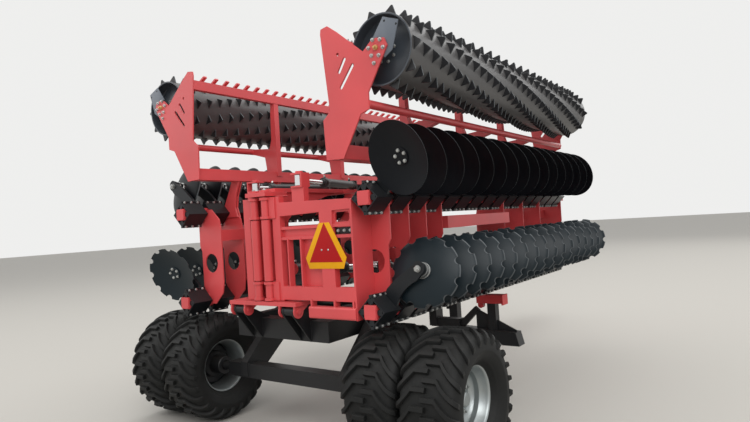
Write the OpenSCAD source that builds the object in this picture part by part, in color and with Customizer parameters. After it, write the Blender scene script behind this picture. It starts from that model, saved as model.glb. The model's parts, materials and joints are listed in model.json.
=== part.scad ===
// Trailed disc harrow, both wings folded forward for the road.
// Millimetres. X to the right, Y forward along the drawbar, Z up, ground at Z = 0.
// The places below are measured from the wheel axle; at_origin() centres the whole on its own box.

/* [Wheels] */
// Outer diameter of a tyre over its lugs
tyre_d = 947; // [900:1:980]
// Width of a tyre
tyre_w = 430; // [400:1:440]
// Distance between the two tyres of a pair, middle to middle
twin_pitch = 450; // [445:1:470]
// Middle of the inner tyre from the centre line
tyre_x = 1020; // [1000:1:1060]
// Height of the tread lugs
lug_h = 26; // [15:1:32]
// Lugs on each half of a tyre
lug_n = 18; // [14:2:20]
// Diameter over the rim flange
rim_d = 460; // [440:1:480]
// Width of a rim
rim_w = 250; // [220:1:280]

/* [Axle] */
// Height of the axle arms' pivot
axle_pivot_z = 1000; // [980:1:1020]
// Distance of that pivot in front of the axle
axle_pivot_y = 700; // [680:1:720]
// Side of the square axle beam
axle_beam = 120; // [100:1:130]
// Middle of an axle arm from the centre line
axle_arm_x = 550; // [540:1:560]
// Thickness of an axle arm
axle_arm_t = 80; // [60:1:90]

/* [Wing] */
// Length of the square beams that carry the discs
wing_l = 4080; // [4060:10:4300]
// Side of those beams
beam = 100; // [90:1:100]
// Wall of those beams
beam_wall = 8; // [5:1:12]
// Beams from the centre line
beam_x = 1012; // [1005:1:1030]
// Height of the lower beam
low_z = 1075; // [1072:1:1085]
// Height of the upper beam
high_z = 1854; // [1840:1:1870]
// Rear end of the wings
wing_y = -300; // [-305:1:-295]
// Thickness of the rib plates
rib_t = 12; // [8:1:16]

/* [Discs] */
// Diameter of a disc
disc_d = 510; // [480:1:520]
// Thickness of a disc
disc_t = 6; // [5:1:8]
// Depth of the dish
disc_dish = 48; // [40:1:55]
// Discs in a row
disc_n = 16; // [10:1:16]
// Distance from disc to disc
disc_pitch = 250; // [245:1:254]
// Notches round a front disc
notch_n = 11; // [8:1:14]
// Diameter of a notch
notch_d = 62; // [40:1:70]
// Length of the bearing hub behind a disc
hub_l = 80; // [70:1:90]

/* [Clamps] */
// Length of a rubber clamp
clamp_l = 200; // [160:1:210]
// Thickness of its angled plates
clamp_t = 8; // [6:1:9]
// Width of a disc arm
arm_w = 78; // [60:1:90]
// Thickness of a disc arm
arm_t = 26; // [20:1:30]

/* [Roller] */
// Diameter of the drum
drum_d = 490; // [460:1:500]
// Length of the drum
drum_l = 3880; // [3800:10:3890]
// Drum axis from the centre line
drum_x = 1197; // [1190:1:1210]
// Height of the drum axis
drum_z = 2835; // [2820:1:2850]
// Height of a tooth above the drum
tooth_h = 58; // [40:1:60]
// Thickness of a tooth ring
tooth_t = 10; // [8:1:16]
// Teeth in a ring
tooth_n = 10; // [8:1:12]
// Distance from ring to ring
ring_pitch = 125; // [120:1:160]

/* [Folding] */
// Wing pins from the centre line
pin_x = 60; // [58:1:64]
// Diameter of a wing pin
pin_d = 40; // [34:1:44]
// Height of the axis that the hinge tower tips about
tilt_z = 1055; // [1050:1:1058]

/* [Drawbar] */
// Hitch eye in front of the axle
hitch_y = 5700; // [5500:10:6000]
// Height of the middle of the hitch eye
hitch_z = 770; // [760:1:800]
// Bore of the hitch eye
eye_bore = 50; // [38:1:52]
// Width of the drawbar
bar_w = 180; // [150:1:200]
// Jack in front of the axle
jack_y = 2450; // [2420:10:2600]

/* [Hidden] */

red = [0.80, 0.20, 0.20];
black = [0.10, 0.10, 0.12];
steel = [0.75, 0.76, 0.78];
rubber = [0.16, 0.16, 0.15];
zinc = [0.70, 0.72, 0.72];

RIGHT = 1;
LEFT = -1;
HIGH = -1; // plain rear row, on the upper beam
LOW = 1; // notched front row, on the lower beam

tyre_r = tyre_d / 2;
axle_z = tyre_r;
eye_r = eye_bore / 2 + 50;
eye_h = 50;
mid_y = (hitch_y + eye_r - tyre_r) / 2; // middle of the whole length, from the axle
wing_end = wing_y + wing_l;
clamp_y = wing_y + 110; // middle of the first clamp
rear_arm_y = clamp_y + 50;
front_arm_y = clamp_y + 75;
fit = 0.08; // running clearance of a round fit

// helpers
module at_origin() translate([0, -mid_y, 0]) children();
module side(s) mirror([s == LEFT ? 1 : 0, 0, 0]) children();
module both() { children(); mirror([1, 0, 0]) children(); }
module box(x, y, z) translate([x[0], y[0], z[0]]) cube([x[1] - x[0], y[1] - y[0], z[1] - z[0]]);
// outline in X and Z, extruded along Y from y
module plate_y(y, t) translate([0, y + t, 0]) rotate([90, 0, 0]) linear_extrude(t) children();
// outline in Y and Z, extruded along X from x
module plate_x(x, t) translate([x, 0, 0]) rotate([90, 0, 90]) linear_extrude(t) children();
// Z of the children turned to the direction n
module along(n) rotate([0, acos(n[2] / norm(n)), atan2(n[1], n[0])]) children();
module rod(p, q, d) translate(p) along(q - p) cylinder(h = norm(q - p), d = d, $fn = 48);
module bar_y(x, z, y0, y1, w, h, wall) difference() {
    box([x - w / 2, x + w / 2], [y0, y1], [z - h / 2, z + h / 2]);
    if (wall > 0)
        box([x - w / 2 + wall, x + w / 2 - wall], [y0 - 1, y1 + 1], [z - h / 2 + wall, z + h / 2 - wall]);
}

// Chassis
module drawbar() color(red) {
    w = bar_w / 2;
    nose = hitch_y - 190;
    taper = hitch_y - 1000;
    plate_x(-w, bar_w) polygon([[560, 925], [860, 925], [900, rail_z[1]], [taper, rail_z[1]],
        [nose, hitch_z + 60], [nose, hitch_z - 60], [taper, bar_bottom], [560, bar_bottom]]);
    // fish plates to the cross tube
    both() plate_x(w, 12) polygon([[rail_y[1] + 2, 958], [2300, 950], [2300, 760], [rail_y[1] + 2, 800]]);
}

module hitch_eye() color(black) difference() {
    union() {
        translate([0, hitch_y, hitch_z - eye_h / 2]) cylinder(h = eye_h, r = eye_r, $fn = 64);
        box([-45, 45], [hitch_y - 150, hitch_y - 40], [hitch_z - eye_h / 2, hitch_z + eye_h / 2]);
        box([-80, 80], [hitch_y - 190, hitch_y - 150], [hitch_z - 60, hitch_z + 60]);
    }
    translate([0, hitch_y, hitch_z - eye_h]) cylinder(h = 2 * eye_h, d = eye_bore, $fn = 64);
}

rail_x = 460;
rail_w = 80;
rail_z = [800, 960];
rail_y = [-150, 1900];
bar_bottom = 740;
tilt_tube = 68;
tilt_pin = 44;
ram_pin = 36;
module cross_pin(p, l, d) translate([p[0] - l / 2, p[1], p[2]]) rotate([0, 90, 0]) cylinder(h = l, d = d, $fn = 48);
// the two ends of a pin, outside the cheeks that are reach away from its middle
module pin_heads(p, reach, l, d) for (turn = [-90, 90]) translate(p) rotate([0, turn, 0])
    translate([0, 0, reach - 1]) cylinder(h = l + 1, d = d, $fn = 48);
module tilt_cheek(x) plate_x(x, 14) union() {
    translate([wing_y, tilt_z]) circle(d = tilt_tube + 8, $fn = 48);
    polygon([[wing_y - 30, tilt_z - 30], [wing_y + 33, tilt_z + 12], [-60, rail_z[1] + 2], [-60, rail_z[0]],
        [rail_y[0] - 1, rail_z[0]]]);
}
module main_frame() color(red) {
    difference() {
        union() {
            both() box([rail_x - rail_w / 2, rail_x + rail_w / 2], rail_y, rail_z);
            box([-rail_x, rail_x], [rail_y[0], rail_y[0] + 120], rail_z);
            both() for (y = [1000, 1780]) box([bar_w / 2, rail_x], [y, y + 120], rail_z);
            both() for (x = [210, 310]) tilt_cheek(x);
            both() translate([200, wing_y, tilt_z]) rotate([0, 90, 0]) cylinder(h = 134, d = tilt_tube, $fn = 48);
            both() plate_x(rail_x - rail_w / 2, rail_w) union() {
                translate([axle_pivot_y, axle_pivot_z]) circle(d = 150, $fn = 48);
                polygon([[axle_pivot_y - 170, 950], [axle_pivot_y - 60, axle_pivot_z + 40],
                    [axle_pivot_y + 60, axle_pivot_z + 40], [axle_pivot_y + 170, 950]]);
            }
        }
        both() translate([150, wing_y, tilt_z]) rotate([0, 90, 0]) cylinder(h = 300, d = tilt_pin + 2 * fit, $fn = 48);
        translate([-600, axle_pivot_y, axle_pivot_z]) rotate([0, 90, 0])
            cylinder(h = 1200, d = shaft_d + 2 * fit, $fn = 48);
    }
    // cheeks for the tipping ram and the lift rams
    for (x = [-72, 58]) plate_x(x, 14)
        polygon([[tilt_base[1] - 150, 960], [tilt_base[1] - 45, tilt_base[2] + 45],
            [tilt_base[1] + 45, tilt_base[2] + 45], [tilt_base[1] + 220, 960]]);
    pin_heads(tilt_base, 72, 20, 56);
    both() {
        for (x = [lift_x - 60, lift_x + 46]) plate_x(x, 14)
            polygon([[lift_base_y - 80, 950], [lift_base_y - 40, lift_base_z + 40],
                [lift_base_y + 40, lift_base_z + 40], [lift_base_y + 200, 950]]);
        cross_pin([lift_x, lift_base_y, lift_base_z], 116, ram_pin);
        // saddle under the wing, with the clevis of the strut
        box([930, 1180], [rest_y + 15, rest_y + 115], [rest_top, 950]);
        box([1180, 1195], [rest_y + 8, rest_y + 122], [rest_top - 12, 952]);
        plate_y(rest_y + 40, 50) union() {
            translate([957, rest_top - 24]) circle(d = 50, $fn = 32);
            box2([932, 982], [rest_top - 24, rest_top + 1]);
        }
    }
}

rest_y = 1450;
rest_top = 872; // under the saddles
module box2(x, y) translate([x[0], y[0]]) square([x[1] - x[0], y[1] - y[0]]);
module wing_rests() both() color(black) {
    inner = rail_x - rail_w / 2;
    // hanger, cross tube and outrigger with a slanted end
    box([inner, rail_x + rail_w / 2], [rest_y, rest_y + 130], [640, rail_z[0]]);
    box([inner + 10, 740], [rest_y + 20, rest_y + 110], [632, 714]);
    plate_y(rest_y, 130) polygon([[735, 600], [960, 585], [980, 520], [1120, 520], [1170, 500], [1330, 500],
        [1300, 618], [735, 640]]);
    // gusset and leg
    plate_y(rest_y + 55, 14) polygon([[900, 610], [1290, 610], [1290, 632], [940, 800], [900, 800]]);
    rodbox([1070, rest_y + 65], [612, rest_top], 80);
    // strut to the saddle's clevis
    plate_y(rest_y + 45, 40) polygon([[690, 650], [752, 620], [935, rest_top - 72], [895, rest_top - 36]]);
}
module rodbox(xy, z, s) box([xy[0] - s / 2, xy[0] + s / 2], [xy[1] - s / 2, xy[1] + s / 2], z);

jack_x = 170;
jack_mouth = 375; // lower end of the outer tube, above the raised foot
module jack_tube() color(red) difference() {
    union() {
        box([jack_x - 50, jack_x + 50], [jack_y - 50, jack_y + 50], [jack_mouth, 900]);
        box([bar_w / 2, jack_x - 50], [jack_y - 60, jack_y + 60], [640, 790]);
    }
    box([jack_x - 41, jack_x + 41], [jack_y - 41, jack_y + 41], [jack_mouth - 5, 880]);
}
module jack_leg() color(steel) {
    box([jack_x - 36, jack_x + 36], [jack_y - 36, jack_y + 36], [12, 520]);
    box([jack_x - 110, jack_x + 110], [jack_y - 110, jack_y + 110], [0, 12]);
}

// Axle and wheels
shaft_d = 100;
lift_x = 320;
lift_lug = [axle_pivot_y + 50, axle_pivot_z + 300];
lift_base_y = 1650;
lift_base_z = 1150;
spindle_d = 70;
module axle_frame() color(black) {
        box([-axle_arm_x - 220, axle_arm_x + 220], [-axle_beam / 2, axle_beam / 2],
            [axle_z - axle_beam / 2, axle_z + axle_beam / 2]);
        both() plate_x(axle_arm_x - axle_arm_t / 2, axle_arm_t) union() {
            translate([axle_pivot_y, axle_pivot_z]) circle(d = 150, $fn = 48);
            polygon([[-75, axle_z - 50], [75, axle_z - 50], [axle_pivot_y + 60, axle_pivot_z - 42],
                [axle_pivot_y - 10, axle_pivot_z + 72], [330, 930], [-75, axle_z + 75]]);
        }
        translate([-axle_arm_x - 40, axle_pivot_y, axle_pivot_z]) rotate([0, 90, 0])
            cylinder(h = 2 * axle_arm_x + 80, d = shaft_d, $fn = 48);
        both() for (x = [lift_x - 58, lift_x + 44]) plate_x(x, 14) {
            translate(lift_lug) circle(d = 80, $fn = 32);
            polygon([[axle_pivot_y - 60, axle_pivot_z], [lift_lug[0] - 38, lift_lug[1]],
                [lift_lug[0] + 38, lift_lug[1]], [axle_pivot_y + 60, axle_pivot_z]]);
        }
        both() pin_heads([lift_x, lift_lug[0], lift_lug[1]], 58, 12, 52);
        both() translate([axle_arm_x + 200, 0, axle_z]) rotate([0, 90, 0])
            cylinder(h = tyre_x + 60 - axle_arm_x - 200, d = spindle_d, $fn = 48);
}

// outline of half a tyre: radius against half width
function tyre_outline(r, w) = [[bead_r - 13.7, rim_w / 2 - 32], [bead_r + 1.5, rim_w / 2], [r * 0.66, w * 0.97],
    [r * 0.76, w], [r * 0.90, w * 0.96], [r, w * 0.80]];
tyre_n = 28; // facets round a tyre
bead_r = rim_d / 2 / cos(180 / tyre_n); // the middle of a facet touches the rim
module ring_of(half) {
    outline = concat(half, [for (i = [len(half) - 1:-1:0]) [half[i][0], -half[i][1]]]);
    m = len(outline);
    polyhedron(
        [for (k = [0:tyre_n - 1], p = outline)
            [p[1], p[0] * cos(k * 360 / tyre_n), p[0] * sin(k * 360 / tyre_n)]],
        [for (k = [0:tyre_n - 1], j = [0:m - 1])
            [k * m + j, (k + 1) % tyre_n * m + j, (k + 1) % tyre_n * m + (j + 1) % m, k * m + (j + 1) % m]]);
}
module tyre(x) translate([x, 0, axle_z]) color(rubber) {
    r = tyre_r - lug_h;
    w = tyre_w / 2;
    // corners of a lug: across the tyre and round it
    lug = [[-12, -20], [w * 0.95, 4], [w * 0.95, 46], [-12, 24]];
    top = sqrt(pow(tyre_r, 2) - pow(lug[2][1], 2));
    ring_of(tyre_outline(r, w));
    for (i = [0:lug_n - 1], s = [0, 1])
        rotate([(i + s / 2) * 360 / lug_n - asin(lug[2][1] / tyre_r), 0, 0]) mirror([s, 0, 0])
            translate([0, 0, -top]) linear_extrude(top - r + 80) polygon(lug);
}

// one rim: flange, barrel and a dished wheel plate; out is the side that the plate is seen from
module rim(x) translate([x, 0, axle_z]) rotate([0, 90, 0]) rotate_extrude($fn = 96) polygon([
    [rim_d / 2, rim_w / 2], [rim_d / 2 - 6, rim_w / 2 + 5], [rim_d / 2 - 16, rim_w / 2 - 12],
    [rim_d / 2 - 24, rim_w / 2 - 24], [rim_d / 2 - 36, rim_w / 2 - 60], [rim_d / 2 - 40, 20],
    [120, 8], [110, -10], [60, -10], [60, -24], [116, -24], [rim_d / 2 - 42, 2],
    [rim_d / 2 - 42, -rim_w / 2 + 60], [rim_d / 2 - 26, -rim_w / 2 + 24], [rim_d / 2 - 16, -rim_w / 2 + 12],
    [rim_d / 2 - 6, -rim_w / 2 - 5], [rim_d / 2, -rim_w / 2], [rim_d / 2 - 14, -rim_w / 2 + 30],
    [rim_d / 2 - 30, -rim_w / 2 + 62], [rim_d / 2 - 30, rim_w / 2 - 62], [rim_d / 2 - 14, rim_w / 2 - 30]]);
module rims() color(zinc) difference() {
    union() {
        rim(tyre_x);
        rim(tyre_x + twin_pitch);
        translate([tyre_x - 110, 0, axle_z]) rotate([0, 90, 0]) cylinder(h = twin_pitch + 150, d = 150, $fn = 48);
    }
    translate([tyre_x - 200, 0, axle_z]) rotate([0, 90, 0]) cylinder(h = 290, d = spindle_d + 2 * fit, $fn = 48);
}

// Hinge tower between the wings
pin_z = [tilt_z + 39, 1965];
knuckle_low = [1131, 1275];
knuckle_high = [1760, 1925];
tower_top = 1935;
tilt_base = [0, 1200, 1255]; // rod's eye of the tipping ram
tilt_lug = [0, -30, 1345]; // foot of its barrel
head_z = [tower_top + 32, tower_top + 65];
fold_base = [160, 700, 2030];
fold_eye = [400, -262, 2030];
fold_eye_left = [280, -67, 2030];
fold_pin = 34;
module hinge_tower() color(red) {
            // base with the tipping ears
            box([-365, 365], [-345, -105], [tilt_z + 41, tilt_z + 71]);
            both() for (x = [186, 340]) plate_x(x, 12) union() {
                translate([wing_y, tilt_z]) circle(d = 100, $fn = 48);
                polygon([[wing_y - 45, tilt_z], [wing_y + 50, tilt_z], [-180, tilt_z + 42], [-345, tilt_z + 42]]);
            }
            // column
            box([-110, 110], [-225, -105], [tilt_z + 71, tower_top]);
            box([-110, 110], [-345, -105], [tower_top, head_z[0] + 1]);
            // sleeves of the wing pins between the knuckles
            both() translate([pin_x, wing_y, knuckle_low[1] + 8])
                cylinder(h = knuckle_high[0] - knuckle_low[1] - 16, d = 72, $fn = 48);
            both() box([pin_x - 10, pin_x + 10], [-290, -220], [knuckle_low[1] + 8, knuckle_high[0] - 8]);
            // head that carries the rams
            box([-75, 75], [-200, fold_base[1] + 55], head_z);
            for (x = [-62, 48]) plate_x(x, 14)
                polygon([[-105, 1700], [-105, head_z[0] + 1], [560, head_z[0] + 1], [60, 1840]]);
            // lug of the tipping ram
            for (x = [-72, 58]) plate_x(x, 14) union() {
                translate([tilt_lug[1], tilt_lug[2]]) circle(d = 90, $fn = 48);
                polygon([[-106, 1240], [-106, 1450], [tilt_lug[1], tilt_lug[2] + 44], [tilt_lug[1], tilt_lug[2] - 44]]);
            }
            cross_pin(tilt_lug, 140, ram_pin);
            box([-fold_base[0] - 45, fold_base[0] + 45], [fold_base[1] - 45, fold_base[1] + 55], [1960, 1988]);
            both() translate([fold_base[0], fold_base[1], 1980]) cylinder(h = 95, d = fold_pin, $fn = 48);
    both() translate([pin_x, wing_y, pin_z[0]]) cylinder(h = pin_z[1] - pin_z[0], d = pin_d, $fn = 48);
    both() translate([pin_x, wing_y, head_z[0]]) cylinder(h = 16, d = 84, $fn = 48);
    both() translate([180, wing_y, tilt_z]) rotate([0, 90, 0]) cylinder(h = 180, d = tilt_pin, $fn = 48);
}

// Wing: panel that swings on the pins
panel_y = [-290, -235];
module knuckle(z) difference() {
    union() {
        translate([pin_x, wing_y, z[0]]) cylinder(h = z[1] - z[0], d = 62, $fn = 48);
        for (low = [z[0], z[1] - 20]) {
            translate([pin_x, wing_y, low]) cylinder(h = 20, d = 86, $fn = 48);
            box([pin_x, 160], [-300, panel_y[1]], [low, low + 20]);
        }
        box([pin_x + 35, 160], [-300, panel_y[1]], z);
    }
    translate([pin_x, wing_y, z[0] - 5]) cylinder(h = z[1] - z[0] + 10, d = pin_d + 2 * fit, $fn = 48);
}
panel_end = 895;
// forked lug round a folding ram's eye at e: two plates held by a web on the side away from the wing pin
lug_z = [fold_base[2] - 54, fold_base[2] + 54];
module fork(e) {
    for (z = [lug_z[0], lug_z[1] - 12]) box([e[0] - 50, e[0] + 62], [e[1] - 45, e[1] + 45], [z, z + 12]);
    box([e[0] + 50, e[0] + 62], [e[1] - 45, e[1] + 45], lug_z);
    for (z = [lug_z[0] - 14, lug_z[1] - 1]) translate([e[0], e[1], z]) cylinder(h = 15, d = 56, $fn = 48);
}
module fold_lug() {
    box([fold_eye[0] - 60, fold_eye[0] + 62], panel_y, [1850, lug_z[0] + 1]);
    fork(fold_eye);
}
// rectangle with round corners, from corner a to corner b
module round_box(a, b, r) {
    box2([a[0] + r, b[0] - r], [a[1], b[1]]);
    box2([a[0], b[0]], [a[1] + r, b[1] - r]);
    for (x = [a[0] + r, b[0] - r], y = [a[1] + r, b[1] - r]) translate([x, y]) circle(r = r, $fn = 32);
}
post_x = [595, 715];
module right_panel() color(red) {
    knuckle(knuckle_low);
    knuckle(knuckle_high);
    box([120, 200], panel_y, [knuckle_low[0], knuckle_high[1]]);
    // upper and lower member, post
    plate_y(panel_y[0], panel_y[1] - panel_y[0])
        polygon([[120, 1770], [120, 1880], [panel_end - 30, 1862], [panel_end, 1835], [panel_end, 1790]]);
    box([120, panel_end], panel_y, [1140, 1240]);
    box(post_x, panel_y, [1235, 1800]);
    // two rails with a plate set back between them
    for (z = [1590, 1668]) box([190, panel_end], [-284, -240], [z, z + 22]);
    box([190, post_x[0] + 5], [-262, -252], [1605, 1675]);
    // web with a window beside the post
    plate_y(-272, 12) difference() {
        box2([post_x[1] - 5, panel_end], [1680, 1800]);
        round_box([post_x[1] + 15, 1702], [panel_end - 35, 1772], 22);
    }
    // uprights and the plate set back between them and the post
    for (x = [262, 392]) box([x, x + 12], panel_y, [1230, 1600]);
    box([398, post_x[0] + 5], [-250, -240], [1230, 1600]);
    // end plate back to the first rib
    plate_x(panel_end - 15, 15) polygon([[-290, 1010], [-290, 1852], [-235, 1852], [rib_y(0) - rib_t / 2, 1780],
        [rib_y(0) - rib_t / 2, 1160], [-235, 1010]]);
    // lower tube with its hangers
    plate_x(457, panel_end - 457 - 5) round_box([-305, 1012], [-235, 1100], 16);
    for (x = [470, 690, 860]) box([x, x + 14], [-296, -240], [1095, 1150]);
    fold_lug();
}

function rib_y(i) = clamp_y + disc_pitch / 2 + i * disc_pitch;
ribs = [0, 1, 2, 3, 8, 10, 12, 15];
rib_in = 760; // inner edge of the ribs
module rib(y) plate_y(y - rib_t / 2, rib_t) difference() {
    polygon([[880, low_z - 35], [beam_x, low_z - 35], [beam_x, low_z + 50], [beam_x + 50, low_z + 50],
        [beam_x + 22, low_z + 110], [beam_x + 22, 1510], [beam_x + 48, 1560], [beam_x + 48, high_z - 160],
        [beam_x + 50, high_z - 50],
        [beam_x, high_z - 50], [beam_x, high_z + 35], [880, high_z + 35], [rib_in + 20, high_z - 60],
        [rib_in, high_z - 160], [rib_in, low_z + 160], [rib_in + 20, low_z + 60]]);
    translate([beam_x, low_z]) square(beam, center = true);
    translate([beam_x, high_z]) square(beam, center = true);
    translate([(rib_in + beam_x + 50) / 2, (low_z + high_z) / 2 - 60]) circle(d = 170, $fn = 48);
}
module beams() color(red) {
    for (z = [low_z, high_z]) {
        bar_y(beam_x, z, wing_y, wing_end, beam, beam, beam_wall);
        for (y = [wing_y - 6, wing_end - 4]) plate_y(y, 10)
            round_box([beam_x - 48, z - 48], [beam_x + 48, z + 48], 18);
    }
    for (i = ribs) rib(rib_y(i));
    bar_y(rib_in + 45, 1650, rib_y(0), rib_y(15), 90, 100, 0);
    box([beam_x + 48, beam_x + 100], [rib_y(3), rib_y(8)], [1600, 1700]);
}

// Rubber sprung clamps round a beam
clamp_in = beam + 0.6; // half the diagonal inside the angled plates
clamp_out = clamp_in + clamp_t * sqrt(2);
module diamond(r) polygon([[r, 0], [0, r], [-r, 0], [0, -r]]);
module clamp_body() {
    diamond(clamp_out);
    square([24, 236], center = true);
}
module clamp_outline(z) translate([beam_x, z]) {
    difference() {
        clamp_body();
        diamond(clamp_in);
    }
    cord_r = (clamp_in - beam / 2) / (1 + sqrt(2));
    for (a = [0:90:270]) rotate(a) translate([0, beam / 2 + cord_r + 0.2]) circle(r = cord_r, $fn = 24);
}
module clamps(z) color(black) for (i = [0:disc_n - 1])
    plate_y(clamp_y + i * disc_pitch - clamp_l / 2, clamp_l) clamp_outline(z);

// direction from the bearing to the open side of a disc, for a side s and a row r
function open_side(s, r) = [-0.17 * s, 0.94 * s * r, -0.29];
arm_out = 290; // from the beam out and up to the hub
arm_up = 279;
function arm_y(r) = r == HIGH ? rear_arm_y : front_arm_y;
function beam_z(r) = r == HIGH ? high_z : low_z;
// middle of the hub plane of disc i
function hub_at(s, r, i) = [s * (beam_x + arm_out), arm_y(r) + i * disc_pitch, beam_z(r) + arm_up];

module arm_outline() rotate(atan2(arm_up, arm_out)) {
    // flat arm, widest at the clamp, hollowed along its lower edge
    l = norm([arm_out, arm_up]);
    difference() {
        polygon([[70, -66], [70, 66], [120, 82], [220, 78], [320, 58], [l, arm_w / 2 + 4], [l, -arm_w / 2 - 4]]);
        translate([215, -345]) circle(r = 320, $fn = 96);
    }
    translate([l, 0]) circle(d = arm_w + 8, $fn = 48);
}
module arms(s, r) color(black) for (i = [0:disc_n - 1]) {
    h = hub_at(s, r, i);
    side(s) translate([beam_x, 0, beam_z(r)]) plate_y(h[1] - arm_t / 2, arm_t) difference() {
        arm_outline();
        clamp_body();
    }
    // bearing hub, cut flush with the back of the arm
    difference() {
        translate(h) along(open_side(s, r)) translate([0, 0, -30]) cylinder(h = hub_l - 2 + 30, d = 96, $fn = 48);
        translate(h - [0, s * r * (arm_t / 2 + 40), 0]) cube([160, 80, 160], center = true);
    }
}

module dish() {
    r = disc_d / 2;
    rotate_extrude($fn = 96) polygon([[0, 0], [70, 0], [r * 0.62, disc_dish * 0.30], [r, disc_dish],
        [r, disc_dish + disc_t * 0.5], [r * 0.62 - 2, disc_dish * 0.30 + disc_t], [68, disc_t], [0, disc_t]]);
}
module discs(s, r) color(black) for (i = [0:disc_n - 1]) translate(hub_at(s, r, i)) along(open_side(s, r))
    translate([0, 0, hub_l]) {
        difference() {
            dish();
            if (r == LOW) for (k = [0:notch_n - 1]) rotate(k * 360 / notch_n)
                translate([disc_d / 2 + 6, 0, 0]) cylinder(h = 100, d = notch_d, $fn = 32);
        }
        color(steel) translate([0, 0, disc_t]) cylinder(h = 8, d = 120, $fn = 48);
    }

// Packer roller
frame_t = 12;
dish_depth = 90; // hollow at each end of the drum
roller_end = wing_y + 50;
module roller() color(black) {
    r = drum_d / 2;
    translate([drum_x, roller_end, drum_z]) rotate([-90, 0, 0]) {
        rotate_extrude($fn = 96) polygon([[0, 60], [90, 60], [r - 50, dish_depth], [r - 12, dish_depth], [r - 12, 0],
            [r, 0], [r, drum_l], [r - 12, drum_l], [r - 12, drum_l - dish_depth], [r - 50, drum_l - dish_depth],
            [90, drum_l - 60], [0, drum_l - 60]]);
        for (i = [0:floor((drum_l - 60) / ring_pitch)])
            translate([0, 0, 25 + i * ring_pitch]) rotate(i * 5) linear_extrude(tooth_t) polygon(
                [for (k = [0:tooth_n - 1], p = [[-12, r - 2], [0, r + tooth_h], [12, r - 2]])
                    [p[1] * cos(k * 360 / tooth_n + p[0]), p[1] * sin(k * 360 / tooth_n + p[0])]]);
        translate([0, 0, -38]) cylinder(h = drum_l + 76, d = 60, $fn = 48);
    }
}

// Frame of the roller: end plates, cross tubes and goose necks down to the upper beam
end_outline = [[730, 3070], [790, 3080], [870, 3020], [1087, 2833], [1154, 2887], [1200, 2900], [1264, 2888],
    [1286, 2834], [1113, 2554], [1111, 2442], [1038, 2419], [869, 2135], [716, 2140], [706, 2423], [772, 2480],
    [723, 3035]];
module end_plate(y) plate_y(y, frame_t) difference() {
    polygon(end_outline);
    translate([drum_x, drum_z]) circle(d = 62, $fn = 48);
    translate([869, 2862]) circle(d = 24, $fn = 24);
    long_slot([926, 2816], [875, 2738], 26);
    long_slot([993, 2761], [885, 2627], 26);
}
// slot from a to b with round ends
module long_slot(a, b, w) {
    d = b - a;
    turn = atan2(d[1], d[0]);
    polygon([for (end = [0, 1], k = [0:8])
        (end == 0 ? a : b) + w / 2 * [cos(turn + 90 + 180 * end + k * 22.5), sin(turn + 90 + 180 * end + k * 22.5)]]);
}
posts = [650, 1650, 2650];
module roller_frame() color(red) {
    end_plate(wing_y - frame_t / 2);
    end_plate(roller_end + drum_l + 44);
    y0 = wing_y;
    y1 = roller_end + drum_l + 46;
    rod([1092, y0, 2480], [1092, y1, 2480], 60);
    bar_y(757, 2960, y0, y1, 50, 80, 0);
    bar_y(800, 2190, y0, y1, 110, 100, 0);
    for (y = posts) plate_y(y, 60) polygon([[735, 2200], [735, 2950], [785, 2950], [800, 2560], [830, 2480],
        [1090, 2505], [1090, 2455], [900, 2400], [870, 2200]]);
    // goose necks
    for (i = [1, 3, 8, 12], dy = [-rib_t / 2 - 14, rib_t / 2]) plate_y(rib_y(i) + dy, 14)
        polygon([[750, 2145], [855, 2145], [925, 2010], [985, high_z + beam / 2], [beam_x - beam / 2, high_z + beam / 2],
            [beam_x - beam / 2, 1810], [800, 1810], [830, 1900], [810, 2010]]);
}
module scrapers() color(red) for (i = [0:floor((drum_l - 120) / ring_pitch)]) {
    y = roller_end + 85 + i * ring_pitch;
    translate([800, y, 3010]) rotate([0, 30, 0]) cube([150, 34, 14], center = true);
}

// Left wing: swing arms in place of the panel
module swing_arm(z) hinge_bar([pin_x + 85, wing_y + 53], [rib_in + 60, 640], z);
module hinge_bar(a, b, z) {
    d = b - a;
    translate([a[0], a[1], z[0]]) rotate(atan2(d[1], d[0])) translate([0, -28, 0])
        cube([norm(d), 56, z[1] - z[0]]);
}
module left_panel() side(LEFT) color(red) {
    knuckle(knuckle_low);
    knuckle(knuckle_high);
    difference() {
        for (z = [[1140, 1240], [1600, 1690], [1790, 1880]]) swing_arm(z);
        box([rib_in - 10, rib_in + 200], [0, 1000], [1000, 2000]);
    }
    // plate against the ribs
    box([rib_in - 20.3, rib_in - 0.3], [rib_y(2) - 40, rib_y(3) + 40], [1130, 1890]);
    box([118, 190], [wing_y, -160], [knuckle_low[0], knuckle_high[1]]);
    box([fold_eye_left[0] - 45, fold_eye_left[0] + 62], [fold_eye_left[1] - 44, fold_eye_left[1] + 44],
        [1870, lug_z[0] + 1]);
    fork(fold_eye_left);
}

module warning_triangle() color([0.85, 0.10, 0.05]) plate_y(panel_y[0] - 4, 4)
    polygon([[620, 1703], [660, 1703], [830, 1408], [810, 1373], [470, 1373], [450, 1408]]);

// Rams: a barrel and a rod with an eye at each end
eye_d = 70;
eye_w = 76;
across = [0, 90, 0];
upright = [0, 0, 0];
function toward(p, q, l) = p + (q - p) * l / norm(q - p);
module eye(p, turn) translate(p) rotate(turn) cylinder(h = eye_w, d = eye_d, center = true, $fn = 48);
module eye_hole(p, turn, d) translate(p) rotate(turn) cylinder(h = eye_w + 20, d = d, center = true, $fn = 48);
// barrel of length l on the pin p, for a rod of diameter rod_d that reaches towards q
module ram_barrel(p, q, l, d, rod_d, turn, pin) difference() {
    union() {
        rod(toward(p, q, 25), toward(p, q, l), d);
        eye(p, turn);
    }
    rod(toward(p, q, 70), toward(p, q, l + 20), rod_d + 2 * fit);
    eye_hole(p, turn, pin + 2 * fit);
}
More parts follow.
